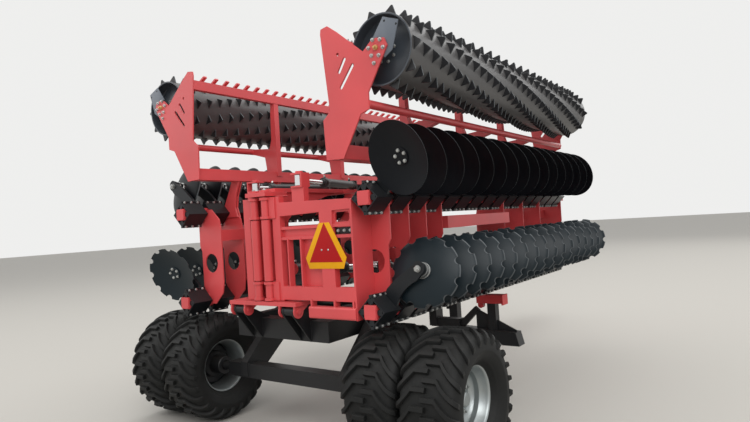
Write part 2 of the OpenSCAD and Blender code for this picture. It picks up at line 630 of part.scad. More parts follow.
// rod from the distance l in the barrel to its eye on q
module ram_rod(p, q, l, rod_d, turn, pin) difference() {
    union() {
        rod(toward(p, q, l), q, rod_d);
        eye(q, turn);
    }
    eye_hole(q, turn, pin + 0.6);
}
lift_base = [lift_x, lift_base_y, lift_base_z];
lift_top = [lift_x, lift_lug[0], lift_lug[1]];
module tilt_barrel() color(black) ram_barrel(tilt_lug, tilt_base, 740, 95, 50, across, ram_pin);
module tilt_rod() color(steel) ram_rod(tilt_lug, tilt_base, 120, 50, across, ram_pin);
module lift_barrels() color(black) both() ram_barrel(lift_base, lift_top, 720, 80, 40, across, ram_pin);
module lift_rods() color(steel) both() ram_rod(lift_base, lift_top, 350, 40, across, ram_pin);
module fold_barrel(eye_at, l) color(black) ram_barrel(fold_base, eye_at, l, 70, 35, upright, fold_pin);
module fold_rod(eye_at) color(steel) ram_rod(fold_base, eye_at, 100, 35, upright, fold_pin);

at_origin() drawbar();
at_origin() hitch_eye();
at_origin() main_frame();
at_origin() wing_rests();
at_origin() jack_tube();
at_origin() jack_leg();
at_origin() axle_frame();
at_origin() tyre(-tyre_x);  // tyre_left_inner
at_origin() tyre(-tyre_x - twin_pitch);  // tyre_left_outer
at_origin() side(LEFT) rims();  // rims_left
at_origin() tyre(tyre_x);  // tyre_right_inner
at_origin() tyre(tyre_x + twin_pitch);  // tyre_right_outer
at_origin() rims();  // rims_right
at_origin() hinge_tower();
at_origin() right_panel();
at_origin() beams();  // right_beams
at_origin() clamps(high_z);  // right_rear_clamps
at_origin() arms(RIGHT, HIGH);  // right_rear_arms
at_origin() discs(RIGHT, HIGH);  // right_rear_discs
at_origin() clamps(low_z);  // right_front_clamps
at_origin() arms(RIGHT, LOW);  // right_front_arms
at_origin() discs(RIGHT, LOW);  // right_front_discs
at_origin() roller_frame();  // right_roller_frame
at_origin() scrapers();  // right_scrapers
at_origin() roller();  // right_roller
at_origin() left_panel();
at_origin() side(LEFT) beams();  // left_beams
at_origin() side(LEFT) clamps(high_z);  // left_rear_clamps
at_origin() arms(LEFT, HIGH);  // left_rear_arms
at_origin() discs(LEFT, HIGH);  // left_rear_discs
at_origin() side(LEFT) clamps(low_z);  // left_front_clamps
at_origin() arms(LEFT, LOW);  // left_front_arms
at_origin() discs(LEFT, LOW);  // left_front_discs
at_origin() side(LEFT) roller_frame();  // left_roller_frame
at_origin() side(LEFT) scrapers();  // left_scrapers
at_origin() side(LEFT) roller();  // left_roller
at_origin() warning_triangle();
at_origin() tilt_barrel();
at_origin() tilt_rod();
at_origin() lift_barrels();
at_origin() lift_rods();
at_origin() fold_barrel(fold_eye, 600);  // fold_barrel_right
at_origin() fold_rod(fold_eye);  // fold_rod_right
at_origin() side(LEFT) fold_barrel(fold_eye_left, 640);  // fold_barrel_left
at_origin() side(LEFT) fold_rod(fold_eye_left);  // fold_rod_left
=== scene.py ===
import math
from itertools import product
import bmesh
import bpy
from mathutils import Matrix, Vector
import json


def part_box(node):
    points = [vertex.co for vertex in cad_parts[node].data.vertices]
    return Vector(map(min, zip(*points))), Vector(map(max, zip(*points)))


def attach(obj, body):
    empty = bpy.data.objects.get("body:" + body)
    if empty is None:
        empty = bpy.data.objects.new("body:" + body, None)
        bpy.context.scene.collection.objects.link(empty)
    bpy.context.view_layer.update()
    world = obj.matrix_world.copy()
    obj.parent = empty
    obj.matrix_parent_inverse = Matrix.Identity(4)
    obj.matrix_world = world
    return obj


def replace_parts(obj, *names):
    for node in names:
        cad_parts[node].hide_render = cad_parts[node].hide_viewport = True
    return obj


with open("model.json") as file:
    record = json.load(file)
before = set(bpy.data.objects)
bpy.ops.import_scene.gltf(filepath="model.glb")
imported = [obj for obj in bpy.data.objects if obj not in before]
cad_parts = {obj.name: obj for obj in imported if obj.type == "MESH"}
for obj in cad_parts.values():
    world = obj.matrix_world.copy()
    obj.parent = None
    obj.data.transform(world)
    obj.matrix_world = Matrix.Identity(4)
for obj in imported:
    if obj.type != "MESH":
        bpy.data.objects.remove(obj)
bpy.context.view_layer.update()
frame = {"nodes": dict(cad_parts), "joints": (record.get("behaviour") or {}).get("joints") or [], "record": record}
nodes = frame["nodes"]
print("frame loaded,", len(nodes), "nodes")

# the tyres say where the axle is; the camera and most details are placed from it
tyreLow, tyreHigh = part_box("tyre_right_outer")
axle = Vector((0, (tyreLow.y + tyreHigh.y) / 2, (tyreLow.z + tyreHigh.z) / 2))

def spot(x, y, z):
    # a place as in the drawings: from the middle line, from the axle and from the ground
    return Vector((x, axle.y + y, z))

def addObject(name, data):
    made = bpy.data.objects.new(name, data)
    bpy.context.scene.collection.objects.link(made)
    return made

def rotation(degrees, axisName):
    return Matrix.Rotation(math.radians(degrees), 4, axisName)

def roundAngles(count, start=0.0):
    # angles all round, the first one start steps on
    return [2 * math.pi * (k + start) / count for k in range(count)]

camera = {
    "fromAxle": (3.348, -3.420), "height": 1.685,
    "turn": 35.73, "lookUp": 1.09, "lean": -3.57,  # degrees
    "focalPixels": 575.5, "pictureWidth": 750,
}

def makeCamera(c):
    data = bpy.data.cameras.new("camera")
    data.sensor_fit = "HORIZONTAL"
    data.sensor_width = 36
    data.lens = c["focalPixels"] / c["pictureWidth"] * data.sensor_width
    data.clip_end = 200
    cam = addObject("camera", data)
    place = Matrix.Translation((c["fromAxle"][0], axle.y + c["fromAxle"][1], c["height"]))
    aim = rotation(c["turn"], "Z") @ rotation(90 + c["lookUp"], "X") @ rotation(c["lean"], "Z")
    cam.matrix_world = place @ aim
    bpy.context.scene.camera = cam

makeCamera(camera)
print("camera set")

# small tools for node trees
def wire(tree, node, inputs):
    # gives each input a value or another node's output
    for label, value in inputs.items():
        if isinstance(value, bpy.types.NodeSocket):
            tree.links.new(value, node.inputs[label])
        else:
            node.inputs[label].default_value = value

def addNode(tree, kind, inputs={}, **settings):
    node = tree.nodes.new(kind)
    for name, value in settings.items():
        setattr(node, name, value)
    wire(tree, node, inputs)
    return node

def reckon(tree, operation, *values):
    return addNode(tree, "ShaderNodeMath", dict(enumerate(values)), operation=operation).outputs[0]

studio = {
    "floor": (0.50, 0.475, 0.43), "floorSize": 160, "floorRough": 0.9,
    "sky": (0.86, 0.86, 0.85), "skyTint": (0.95, 0.97, 1.0), "skyLight": 0.74,
    "aimTowardsAxle": 0.4, "aimHeight": 1.4,
    "lamps": [  # name, place from the object's middle, size, watts
        ("keyLamp", (9.5, -11.5, 10.5), 9.0, 950),
        ("fillLamp", (-14.0, -10.0, 11.0), 14.0, 600),
        ("frontLamp", (5.0, 17.0, 14.0), 15.0, 900),
        ("topLamp", (1.0, 0.0, 17.0), 16.0, 1150),
    ],
}

def makeSky(s):
    # the camera, gloss and glass see the pale background; what lights the object is weaker
    world = bpy.data.worlds.new("sky")
    bpy.context.scene.world = world
    world.use_nodes = True
    tree = world.node_tree
    tree.nodes.clear()
    seen = addNode(tree, "ShaderNodeBackground", {"Color": (*s["sky"], 1), "Strength": 1})
    light = addNode(tree, "ShaderNodeBackground", {"Color": (*s["skyTint"], 1), "Strength": s["skyLight"]})
    rays = addNode(tree, "ShaderNodeLightPath").outputs
    shown = reckon(tree, "MAXIMUM", rays["Is Camera Ray"], rays["Is Transmission Ray"])
    shown = reckon(tree, "MAXIMUM", shown, rays["Is Glossy Ray"])
    mix = addNode(tree, "ShaderNodeMixShader", {0: shown, 1: light.outputs[0], 2: seen.outputs[0]})
    addNode(tree, "ShaderNodeOutputWorld", {"Surface": mix.outputs[0]})

def makeStudio(s):
    bpy.context.scene.view_settings.view_transform = "Standard"
    makeSky(s)
    bpy.ops.mesh.primitive_plane_add(size=s["floorSize"], location=(0, 0, 0))
    floor = bpy.context.object
    floor.name = "floor"
    material = bpy.data.materials.new("paleFloor")
    material.use_nodes = True
    shader = material.node_tree.nodes["Principled BSDF"]
    wire(material.node_tree, shader, {"Base Color": (*s["floor"], 1), "Roughness": s["floorRough"]})
    floor.data.materials.append(material)
    target = Vector((0, axle.y * s["aimTowardsAxle"], s["aimHeight"]))
    for name, place, size, watts in s["lamps"]:
        data = bpy.data.lights.new(name, "AREA")
        data.size = size
        data.energy = watts
        lamp = addObject(name, data)
        lamp.location = Vector(place)
        lamp.rotation_euler = (target - Vector(place)).to_track_quat("-Z", "Y").to_euler()

makeStudio(studio)
print("studio set")

def mixed(tree, share, under, over):
    # the colour under, with a share of the colour over on it
    inputs = {"Factor": share, "A": under, "B": (*over, 1)}
    return addNode(tree, "ShaderNodeMix", inputs, data_type="RGBA").outputs["Result"]

def paint(name, color, rough, dust=(0.35, 0.30, 0.24), dustAmount=0.12, coat=0.0, metal=0.0, grain=60.0,
          bump=0.05, edge=0.0, outer=None, shine=0.5):
    # edge rounds the corners; outer is how far from the middle line another colour starts, and that colour
    material = bpy.data.materials.new(name)
    material.use_nodes = True
    tree = material.node_tree
    place = addNode(tree, "ShaderNodeTexCoord").outputs["Object"]
    broad = addNode(tree, "ShaderNodeTexNoise", {"Vector": place, "Scale": 1.7, "Detail": 6}).outputs["Fac"]
    fine = addNode(tree, "ShaderNodeTexNoise", {"Vector": place, "Scale": grain, "Detail": 4}).outputs["Fac"]
    shade = addNode(tree, "ShaderNodeValToRGB", {"Fac": broad})
    for stop, position, share in zip(shade.color_ramp.elements, (0.3, 0.75), (0.86, 1.1)):
        stop.position = position
        stop.color = (*[min(1, c * share) for c in color], 1)
    base = shade.outputs["Color"]
    if outer:
        side = addNode(tree, "ShaderNodeSeparateXYZ", {0: place}).outputs["X"]
        beyond = reckon(tree, "GREATER_THAN", reckon(tree, "ABSOLUTE", side), outer[0])
        base = mixed(tree, beyond, base, outer[1])
    # dust lies on what faces up and in patches
    normal = addNode(tree, "ShaderNodeNewGeometry").outputs["Normal"]
    height = addNode(tree, "ShaderNodeSeparateXYZ", {0: normal}).outputs["Z"]
    lying = {"Value": height, "From Min": 0.1, "From Max": 1.0, "To Min": 0.25}
    up = addNode(tree, "ShaderNodeMapRange", lying).outputs[0]
    amount = reckon(tree, "MULTIPLY", reckon(tree, "MULTIPLY", up, fine), dustAmount * 2)
    gloss = addNode(tree, "ShaderNodeMapRange",
                    {"Value": broad, "To Min": rough * 0.8, "To Max": min(1, rough * 1.25)})
    relief = {"Height": fine, "Strength": bump, "Distance": 0.002}
    if edge:
        relief["Normal"] = addNode(tree, "ShaderNodeBevel", {"Radius": edge}, samples=4).outputs[0]
    wire(tree, tree.nodes["Principled BSDF"], {
        "Base Color": mixed(tree, amount, base, dust), "Roughness": gloss.outputs[0],
        "Normal": addNode(tree, "ShaderNodeBump", relief).outputs[0],
        "Metallic": metal, "Specular IOR Level": shine, "Coat Weight": coat})
    return material

chassisBlack = {
    "color": (0.0085, 0.0095, 0.0115), "rough": 0.42, "dustAmount": 0.05, "edge": 0.004, "shine": 0.35,
}
finishes = {
    "frame_red": paint("coralRedPaint", (0.66, 0.062, 0.068), 0.40, dustAmount=0.07, coat=0.15, edge=0.004),
    "frame_black": paint("frameBlackPaint", **chassisBlack),
    "clamp_black": paint("clampBlackPaint", (0.0065, 0.0090, 0.0120), 0.38, dustAmount=0.03, edge=0.002,
                         shine=0.35),
    # front discs: blue-black paint made bluer than the paint itself; part of the blue is painted sheen of bluish
    # overhead light
    "disc_blue_black": paint("discPaintWithPaintedSheen", (0.0085, 0.0160, 0.0210), 0.34, dustAmount=0.01, grain=25,
                             shine=0.24),
    "drum_grey": paint("toothPaint", (0.013, 0.014, 0.017), 0.44, dustAmount=0.06, edge=0.002, shine=0.4),
    "tyre_rubber": paint("tyreRubber", (0.0050, 0.0055, 0.0056), 0.62, dust=(0.09, 0.085, 0.075),
                         dustAmount=0.10, grain=35, bump=0.25, shine=0.3),
    "galvanised": paint("galvanisedSteel", (0.40, 0.435, 0.44), 0.40, dustAmount=0.1, metal=0.85, grain=14),
    "ram_chrome": paint("chromedRod", (0.78, 0.79, 0.80), 0.12, dustAmount=0.02, metal=1.0),
    "ram_black": paint("ramBlackPaint", (0.012, 0.012, 0.014), 0.38, dustAmount=0.06, edge=0.002),
    "hitch_cast": paint("castHitch", (0.06, 0.06, 0.065), 0.55, dustAmount=0.15, metal=0.5, edge=0.004),
    "jack_zinc": paint("zincJack", (0.50, 0.51, 0.50), 0.38, dustAmount=0.1, metal=0.9),
    "warning_red": paint("warningRed", (0.40, 0.004, 0.005), 0.6, dustAmount=0.01, shine=0.2),
}
slots = {part["node"]: part["material_slot"] for part in frame["record"]["subparts"]}
for name, node in nodes.items():
    node.data.materials.clear()
    node.data.materials.append(finishes[slots[name]])
# the chassis is black, with red saddles under the wings
chassisPaint = paint("chassisPaint", **chassisBlack, outer=(0.9, (0.60, 0.045, 0.050)))
for name in ("main_frame", "drawbar", "jack_tube"):
    nodes[name].data.materials[0] = chassisPaint
print("finishes made")

# small tools for meshes
def facing(place, direction):
    # a matrix at the place with its Z along the direction
    return Matrix.Translation(place) @ Vector(direction).to_track_quat("Z", "Y").to_matrix().to_4x4()

def bridge(bm, one, two, slotIndex=0):
    # quads between two closed rings of vertices
    for i in range(len(one)):
        j = (i + 1) % len(one)
        bm.faces.new((one[i], one[j], two[j], two[i])).material_index = slotIndex

def skin(bm, rings):
    # a tube through the rings, closed by flat ends
    for one, two in zip(rings, rings[1:]):
        bridge(bm, one, two)
    bm.faces.new(rings[0][::-1])
    bm.faces.new(rings[-1])

def turned(bm, outline, steps, at, closed=False, slotIndex=0):
    # outline is (radius, height) pairs, turned about the Z of the matrix at
    rows = []
    for r, z in outline:
        if r < 1e-6:
            rows.append([bm.verts.new(at @ Vector((0, 0, z)))] * steps)
        else:
            rows.append([bm.verts.new(at @ Vector((r * math.cos(a), r * math.sin(a), z)))
                         for a in roundAngles(steps)])
    pairs = list(zip(rows, rows[1:])) + ([(rows[-1], rows[0])] if closed else [])
    for one, two in pairs:
        for k in range(steps):
            m = (k + 1) % steps
            corners = list(dict.fromkeys((one[k], one[m], two[m], two[k])))
            if len(corners) > 2:
                bm.faces.new(corners).material_index = slotIndex

def block(bm, low, high, bevel, at=Matrix()):
    verts = bmesh.ops.create_cube(bm, size=1)["verts"]
    for v in verts:
        v.co = at @ Vector([low[i] + (v.co[i] + 0.5) * (high[i] - low[i]) for i in range(3)])
    bm.normal_update()  # the bevel reads it
    edges = dict.fromkeys(e for v in verts for e in v.link_edges)
    bmesh.ops.bevel(bm, geom=list(edges), offset=bevel, segments=2, profile=0.5, affect="EDGES")

def plate(bm, outline, thick, at, bevel, slotIndex=0):
    # outline in the X and Y of the matrix at, thick along its Z
    low = [bm.verts.new(at @ Vector((x, y, 0))) for x, y in outline]
    high = [bm.verts.new(at @ Vector((x, y, thick))) for x, y in outline]
    faces = [bm.faces.new(low[::-1]), bm.faces.new(high)]
    for f in faces:
        f.material_index = slotIndex
    bridge(bm, low, high, slotIndex)
    rims = dict.fromkeys(e for f in faces for e in f.edges)
    bmesh.ops.bevel(bm, geom=list(rims), offset=bevel, segments=2, profile=0.5, affect="EDGES")

def smoothLine(points, steps):
    # a smooth line through the points, steps pieces between each two
    line = []
    for k in range(len(points) - 1):
        a, b = points[max(k - 1, 0)], points[k]
        c, d = points[k + 1], points[min(k + 2, len(points) - 1)]
        for j in range(steps):
            t = j / steps
            line.append(tuple(0.5 * (2 * q + (r - p) * t + (2 * p - 5 * q + 4 * r - s) * t * t
                                     + (3 * q - p - 3 * r + s) * t ** 3) for p, q, r, s in zip(a, b, c, d)))
    return line + [tuple(points[-1])]

def tube(bm, points, radius, sides=10):
    points = [Vector(p) for p in points]
    side = Vector((0, 0, 1))
    rings = []
    for k, p in enumerate(points):
        ahead = (points[min(k + 1, len(points) - 1)] - points[max(k - 1, 0)]).normalized()
        side = side - ahead * side.dot(ahead)
        if side.length < 1e-3:
            side = ahead.orthogonal()
        side.normalize()
        other = ahead.cross(side)
        rings.append([bm.verts.new(p + radius * (side * math.cos(a) + other * math.sin(a)))
                      for a in roundAngles(sides)])
    skin(bm, rings)

def toMesh(name, bm, materials, angle):
    bmesh.ops.remove_doubles(bm, verts=bm.verts, dist=1e-6)
    bm.normal_update()
    bmesh.ops.recalc_face_normals(bm, faces=bm.faces)
    mesh = bpy.data.meshes.new(name)
    bm.to_mesh(mesh)
    bm.free()
    for m in materials:  # a paint, or the name of a finish
        mesh.materials.append(finishes.get(m, m))
    mesh.shade_smooth()
    mesh.set_sharp_from_angle(angle=math.radians(angle))
    return mesh

def mount(piece, body):
    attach(piece, body)
    return piece

def newPiece(name, bm, materials, body, angle=35):
    return mount(addObject(name, toMesh(name, bm, materials, angle)), body)

# Geometry Nodes: a tree with named inputs, and its result as a plain mesh
def newTree(name, inputs):
    tree = bpy.data.node_groups.new(name, "GeometryNodeTree")
    tree.interface.new_socket("Geometry", in_out="INPUT", socket_type="NodeSocketGeometry")
    ids = {}
    for label, kind in inputs:
        socket = tree.interface.new_socket(label, in_out="INPUT", socket_type="NodeSocket" + kind)
        ids[label] = socket.identifier
    tree.interface.new_socket("Geometry", in_out="OUTPUT", socket_type="NodeSocketGeometry")
    return tree, ids, tree.nodes.new("NodeGroupInput").outputs

def spotMesh(name, spots):
    # a vertex for each (place, direction); the direction is kept as an attribute
    mesh = bpy.data.meshes.new(name)
    mesh.from_pydata([tuple(p) for p, _ in spots], [], [])
    way = mesh.attributes.new("way", "FLOAT_VECTOR", "POINT")
    way.data.foreach_set("vector", [c for _, d in spots for c in d])
    return mesh

def grow(name, mesh, treeAndIds, values, body):
    tree, ids = treeAndIds
    piece = addObject(name, mesh)
    modifier = piece.modifiers.new("nodes", "NODES")
    modifier.node_group = tree
    for label, value in values.items():
        modifier[ids[label]] = value
    graph = bpy.context.evaluated_depsgraph_get()
    plain = bpy.data.meshes.new_from_object(piece.evaluated_get(graph))
    piece.modifiers.remove(modifier)
    piece.data = plain
    plain.name = name
    return mount(piece, body)

def instanceNodes(tree, points, pattern, seed=None):
    # instances of pattern on points, their Z along the attribute way
    way = addNode(tree, "GeometryNodeInputNamedAttribute", {"Name": "way"}, data_type="FLOAT_VECTOR")
    align = addNode(tree, "FunctionNodeAlignRotationToVector", {"Vector": way.outputs["Attribute"]}, axis="Z")
    placed = addNode(tree, "GeometryNodeInstanceOnPoints", {
        "Points": points, "Instance": pattern, "Rotation": align.outputs[0]}).outputs["Instances"]
    if seed is None:
        return placed
    chance = addNode(tree, "FunctionNodeRandomValue", data_type="FLOAT")
    wire(tree, chance, {"Seed": seed, 3: 2 * math.pi})
    spin = addNode(tree, "ShaderNodeCombineXYZ", {"Z": chance.outputs[1]})
    turn = addNode(tree, "GeometryNodeRotateInstances", {
        "Instances": placed, "Rotation": spin.outputs[0], "Local Space": True})
    return turn.outputs["Instances"]

def finishTree(tree, ids, geometry, finish=None):
    last = addNode(tree, "GeometryNodeRealizeInstances", {0: geometry}).outputs[0]
    if finish is not None:
        last = addNode(tree, "GeometryNodeSetMaterial", {"Geometry": last, "Material": finish}).outputs[0]
    addNode(tree, "NodeGroupOutput", {0: last})
    return tree, ids

def boltTree():
    # washer, hexagon head, its chamfer and the end of the stud, all from the thread's diameter
    tree, ids, given = newTree("bolt", [
        ("thread", "Float"), ("stud", "Float"), ("seed", "Int"), ("finish", "Material")])
    def threads(share):
        return reckon(tree, "MULTIPLY", given["thread"], share)
    join = addNode(tree, "GeometryNodeJoinGeometry")
    # sides, bottom radius, top radius, start and height in threads; the stud's own height comes last
    for sides, bottom, top, base, height in ((20, 1.02, 1.0, -0.05, 0.25), (6, 0.92, 0.92, 0.18, 0.56),
                                             (6, 0.92, 0.8, 0.74, 0.10), (12, 0.5, 0.42, 0.8, None)):
        cone = addNode(tree, "GeometryNodeMeshCone", {
            "Vertices": sides, "Radius Bottom": threads(bottom), "Radius Top": threads(top),
            "Depth": threads(height) if height else given["stud"]})
        lift = addNode(tree, "ShaderNodeCombineXYZ", {"Z": threads(base)})
        moved = addNode(tree, "GeometryNodeTransform", {
            "Geometry": cone.outputs["Mesh"], "Translation": lift.outputs[0]})
        wire(tree, join, {0: moved.outputs[0]})
    flat = addNode(tree, "GeometryNodeSetShadeSmooth", {"Geometry": join.outputs[0], "Shade Smooth": False})
    placed = instanceNodes(tree, given["Geometry"], flat.outputs[0], given["seed"])
    return finishTree(tree, ids, placed, given["finish"])

def patternTree(spun):
    tree, ids, given = newTree("pattern", [("pattern", "Object"), ("seed", "Int")])
    info = addNode(tree, "GeometryNodeObjectInfo", {"Object": given["pattern"]})
    seed = given["seed"] if spun else None
    return finishTree(tree, ids, instanceNodes(tree, given["Geometry"], info.outputs["Geometry"], seed))

def bolts(name, spots, thread, body, stud, seed):
    values = {"thread": thread, "stud": stud, "seed": seed, "finish": finishes["jack_zinc"]}
    return grow(name, spotMesh(name, spots), boltNodes, values, body)

def repeated(name, bm, materials, spots, body, angle=35, seed=None):
    # the mesh in bm, modelled about the origin with Z outwards, once on each spot
    # with a seed, each one is turned at random about its own Z
    pattern = addObject(name + "Pattern", toMesh(name + "Pattern", bm, materials, angle))
    tree = patternNodes if seed is None else spunNodes
    piece = grow(name, spotMesh(name, spots), tree, {"pattern": pattern, "seed": seed or 0}, body)
    bpy.data.objects.remove(pattern)
    return piece

def weldTree():
    # a rippled bead along each edge of the mesh
    tree, ids, given = newTree("weld", [("bead", "Float"), ("step", "Float"), ("finish", "Material")])
    line = addNode(tree, "GeometryNodeMeshToCurve", {0: given["Geometry"]})
    parts = addNode(tree, "GeometryNodeResampleCurve", {"Curve": line.outputs[0], "Length": given["step"]},
                    mode="LENGTH")
    wave = reckon(tree, "SINE", addNode(tree, "GeometryNodeInputIndex").outputs[0])
    swell = reckon(tree, "MULTIPLY_ADD", wave, 0.10, 1.0)
    ring = addNode(tree, "GeometryNodeCurvePrimitiveCircle", {"Resolution": 6, "Radius": given["bead"]})
    bead = addNode(tree, "GeometryNodeCurveToMesh", {
        "Curve": parts.outputs[0], "Profile Curve": ring.outputs["Curve"], "Scale": swell, "Fill Caps": True})
    return finishTree(tree, ids, bead.outputs[0], given["finish"])

def welds(name, lines, body, slotName, bead=0.0045, step=0.007):
    # lines are lists of places; each neighbouring pair is joined by a bead
    places, edges = [], []
    for line in lines:
        first = len(places)
        places += [tuple(p) for p in line]
        edges += [(first + k, first + k + 1) for k in range(len(line) - 1)]
    mesh = bpy.data.meshes.new(name)
    mesh.from_pydata(places, edges, [])
    values = {"bead": bead, "step": step, "finish": finishes[slotName]}
    piece = grow(name, mesh, weldNodes, values, body)
    piece.data.shade_smooth()
    return piece

boltNodes = boltTree()
patternNodes = patternTree(False)
spunNodes = patternTree(True)
weldNodes = weldTree()
print("tools ready")

# tyres
tyreLook = {
    "lugs": 25, "lugHeight": 0.026, "lugWidth": 0.030, "sink": 0.006, "steps": 120,
    "straight": 0.085, "fall": 0.185,  # the lug runs straight out so far, then falls back to the shoulder
    "overMiddle": 0.014, "pastShoulder": 0.045, "sections": 16,
    # across the lug: shares of its width and of its height, None where it goes into the casing
    "lugSection": ((-0.68, None), (-0.52, 0.86), (-0.44, 1.0), (0.44, 1.0), (0.52, 0.86), (0.68, None)),
}

def tyreWall(radius, half, rim):
    # the casing from the middle of the tread to the bead, as (radius, half width)
    base = radius - tyreLook["lugHeight"]
    wall = smoothLine([
        (base + 0.001, 0.0), (base, half * 0.40), (base - 0.007, half * 0.66), (base - 0.026, half * 0.85),
        (base - 0.058, half * 0.95), (base - 0.100, half * 0.99), (rim + 0.092, half * 0.975),
        (rim + 0.050, half * 0.87), (rim + 0.022, half * 0.72), (rim + 0.008, half * 0.62)], 5)
    ribs = ((rim + 0.030, 0.0045, 0.0045), (rim + 0.100, 0.0018, 0.002), (base - 0.070, 0.0022, 0.002))
    return [(r, w + sum(high * math.exp(-((r - at) / wide) ** 2) for at, high, wide in ribs)
             if w > half * 0.6 else w) for r, w in wall]

def lugMesh(radius, half, side, wall):
    # one lug, as cross sections along its way from the middle to the shoulder
    look = tyreLook
    lengths = [0.0]
    for (r1, w1), (r2, w2) in zip(wall, wall[1:]):
        lengths.append(lengths[-1] + math.hypot(r2 - r1, w2 - w1))
    def onWall(s):
        k = max(i for i in range(len(wall) - 1) if lengths[i] <= max(s, 0) or i == 0)
        share = (s - lengths[k]) / (lengths[k + 1] - lengths[k])
        (r1, w1), (r2, w2) = wall[k], wall[k + 1]
        along = Vector((w2 - w1, r2 - r1)).normalized()
        return r1 + (r2 - r1) * share, w1 + (w2 - w1) * share, Vector((-along.y, along.x))
    bm = bmesh.new()
    rings = []
    reach = half * 0.95 + look["pastShoulder"]
    for k in range(look["sections"] + 1):
        s = -look["overMiddle"] + (reach + look["overMiddle"]) * k / look["sections"]
        way = max(0.0, s - look["straight"]) / (reach - look["straight"])
        fall = look["fall"] * (way ** 0.9 if way > 0 else 0) * (1 - 0.22 * way * way)
        r, w, out = onWall(s)
        fade = min(1.0, (reach - s) / 0.040 + 0.12)
        high = look["lugHeight"] * fade * (1 - 0.10 * way)
        wide = look["lugWidth"] * (1 + 0.25 * way)
        ring = []
        for offset, up in look["lugSection"]:
            lift = -look["sink"] if up is None else high * up
            x = side * (w + out.x * lift)
            rr = r + out.y * lift
            turn = (-fall + offset * wide) / radius
            ring.append(bm.verts.new((x, -rr * math.cos(turn), rr * math.sin(turn))))
        rings.append(ring)
    skin(bm, rings)
    return toMesh("lug", bm, ["tyre_rubber"], 30)

def lugTree():
    # both rows of lugs round the casing, the left ones half a step on
    tree, ids, given = newTree("lugRing", [
        ("lugs", "Int"), ("right lug", "Object"), ("left lug", "Object"), ("middle", "Vector")])
    join = addNode(tree, "GeometryNodeJoinGeometry", {0: given["Geometry"]})
    row = addNode(tree, "GeometryNodeMeshLine", {
        "Count": given["lugs"], "Offset": (0, 0, 0), "Start Location": given["middle"]})
    index = addNode(tree, "GeometryNodeInputIndex").outputs[0]
    for label, shift in (("right lug", 0.0), ("left lug", 0.5)):
        share = reckon(tree, "DIVIDE", reckon(tree, "ADD", index, shift), given["lugs"])
        turn = addNode(tree, "ShaderNodeCombineXYZ", {"X": reckon(tree, "MULTIPLY", share, 2 * math.pi)})
        info = addNode(tree, "GeometryNodeObjectInfo", {"Object": given[label]})
        placed = addNode(tree, "GeometryNodeInstanceOnPoints", {
            "Points": row.outputs[0], "Instance": info.outputs["Geometry"], "Rotation": turn.outputs[0]})
        wire(tree, join, {0: placed.outputs[0]})
    return finishTree(tree, ids, join.outputs[0])

def makeTyres():
    rimLow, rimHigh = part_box("rims_right")
    rim = (rimHigh.y - rimLow.y) / 2
    tree = lugTree()
    for node in ("tyre_left_outer", "tyre_left_inner", "tyre_right_inner", "tyre_right_outer"):
        low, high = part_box(node)
        middle = (low + high) / 2
        radius, half = (high.z - low.z) / 2, (high.x - low.x) / 2
        wall = tyreWall(radius, half, rim)
        lugs = [addObject("lug", lugMesh(radius, half, side, wall)) for side in (1, -1)]
        bm = bmesh.new()
        inner = [(rim - 0.004, half * 0.60), (rim - 0.010, half * 0.50)]
        line = wall + inner
        outline = line + [(r, -w) for r, w in line[::-1] if w > 0]
        at = Matrix.Translation(middle) @ rotation(90, "Y")
        turned(bm, outline, tyreLook["steps"], at, closed=True)
        casing = toMesh("casing", bm, ["tyre_rubber"], 40)
        body = "wheels_left" if "left" in node else "wheels_right"
        values = {"lugs": tyreLook["lugs"], "right lug": lugs[0], "left lug": lugs[1], "middle": middle[:]}
        piece = grow("dressed_" + node, casing, tree, values, body)
        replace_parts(piece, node)
        for lug in lugs:
            bpy.data.objects.remove(lug)

makeTyres()
print("tyres made")

bothSides = ((1, "right"), (-1, "left"))

# wheel rims: a deep dish outside, studs round the hub
rimLook = {
    "width": 0.250, "innerOffset": 0.055, "studs": 10, "studCircle": 0.1375, "thread": 0.018,
    "steps": 128, "hubSteps": 64,
    # outlines as (radius, height outwards)
    "plate": ((0.172, 0.004), (0.160, -0.004), (0.118, -0.004), (0.108, 0.002), (0.080, 0.002),
              (0.080, -0.012), (0.120, -0.016), (0.168, -0.016)),
    "hub": ((0.042, -0.190), (0.074, -0.190), (0.080, -0.184), (0.080, -0.060), (0.112, -0.054),
            (0.118, -0.048), (0.118, -0.030), (0.042, -0.030)),
    "cap": ((0, 0.075), (0.040, 0.074), (0.050, 0.066), (0.054, 0.050), (0.056, 0.012), (0.074, 0.008),
            (0.078, 0.000), (0.078, -0.40), (0, -0.40)),
    "valve": (0.02, 0.05, 0.075), "valveInset": 0.050, "valveRadius": 0.006,
}

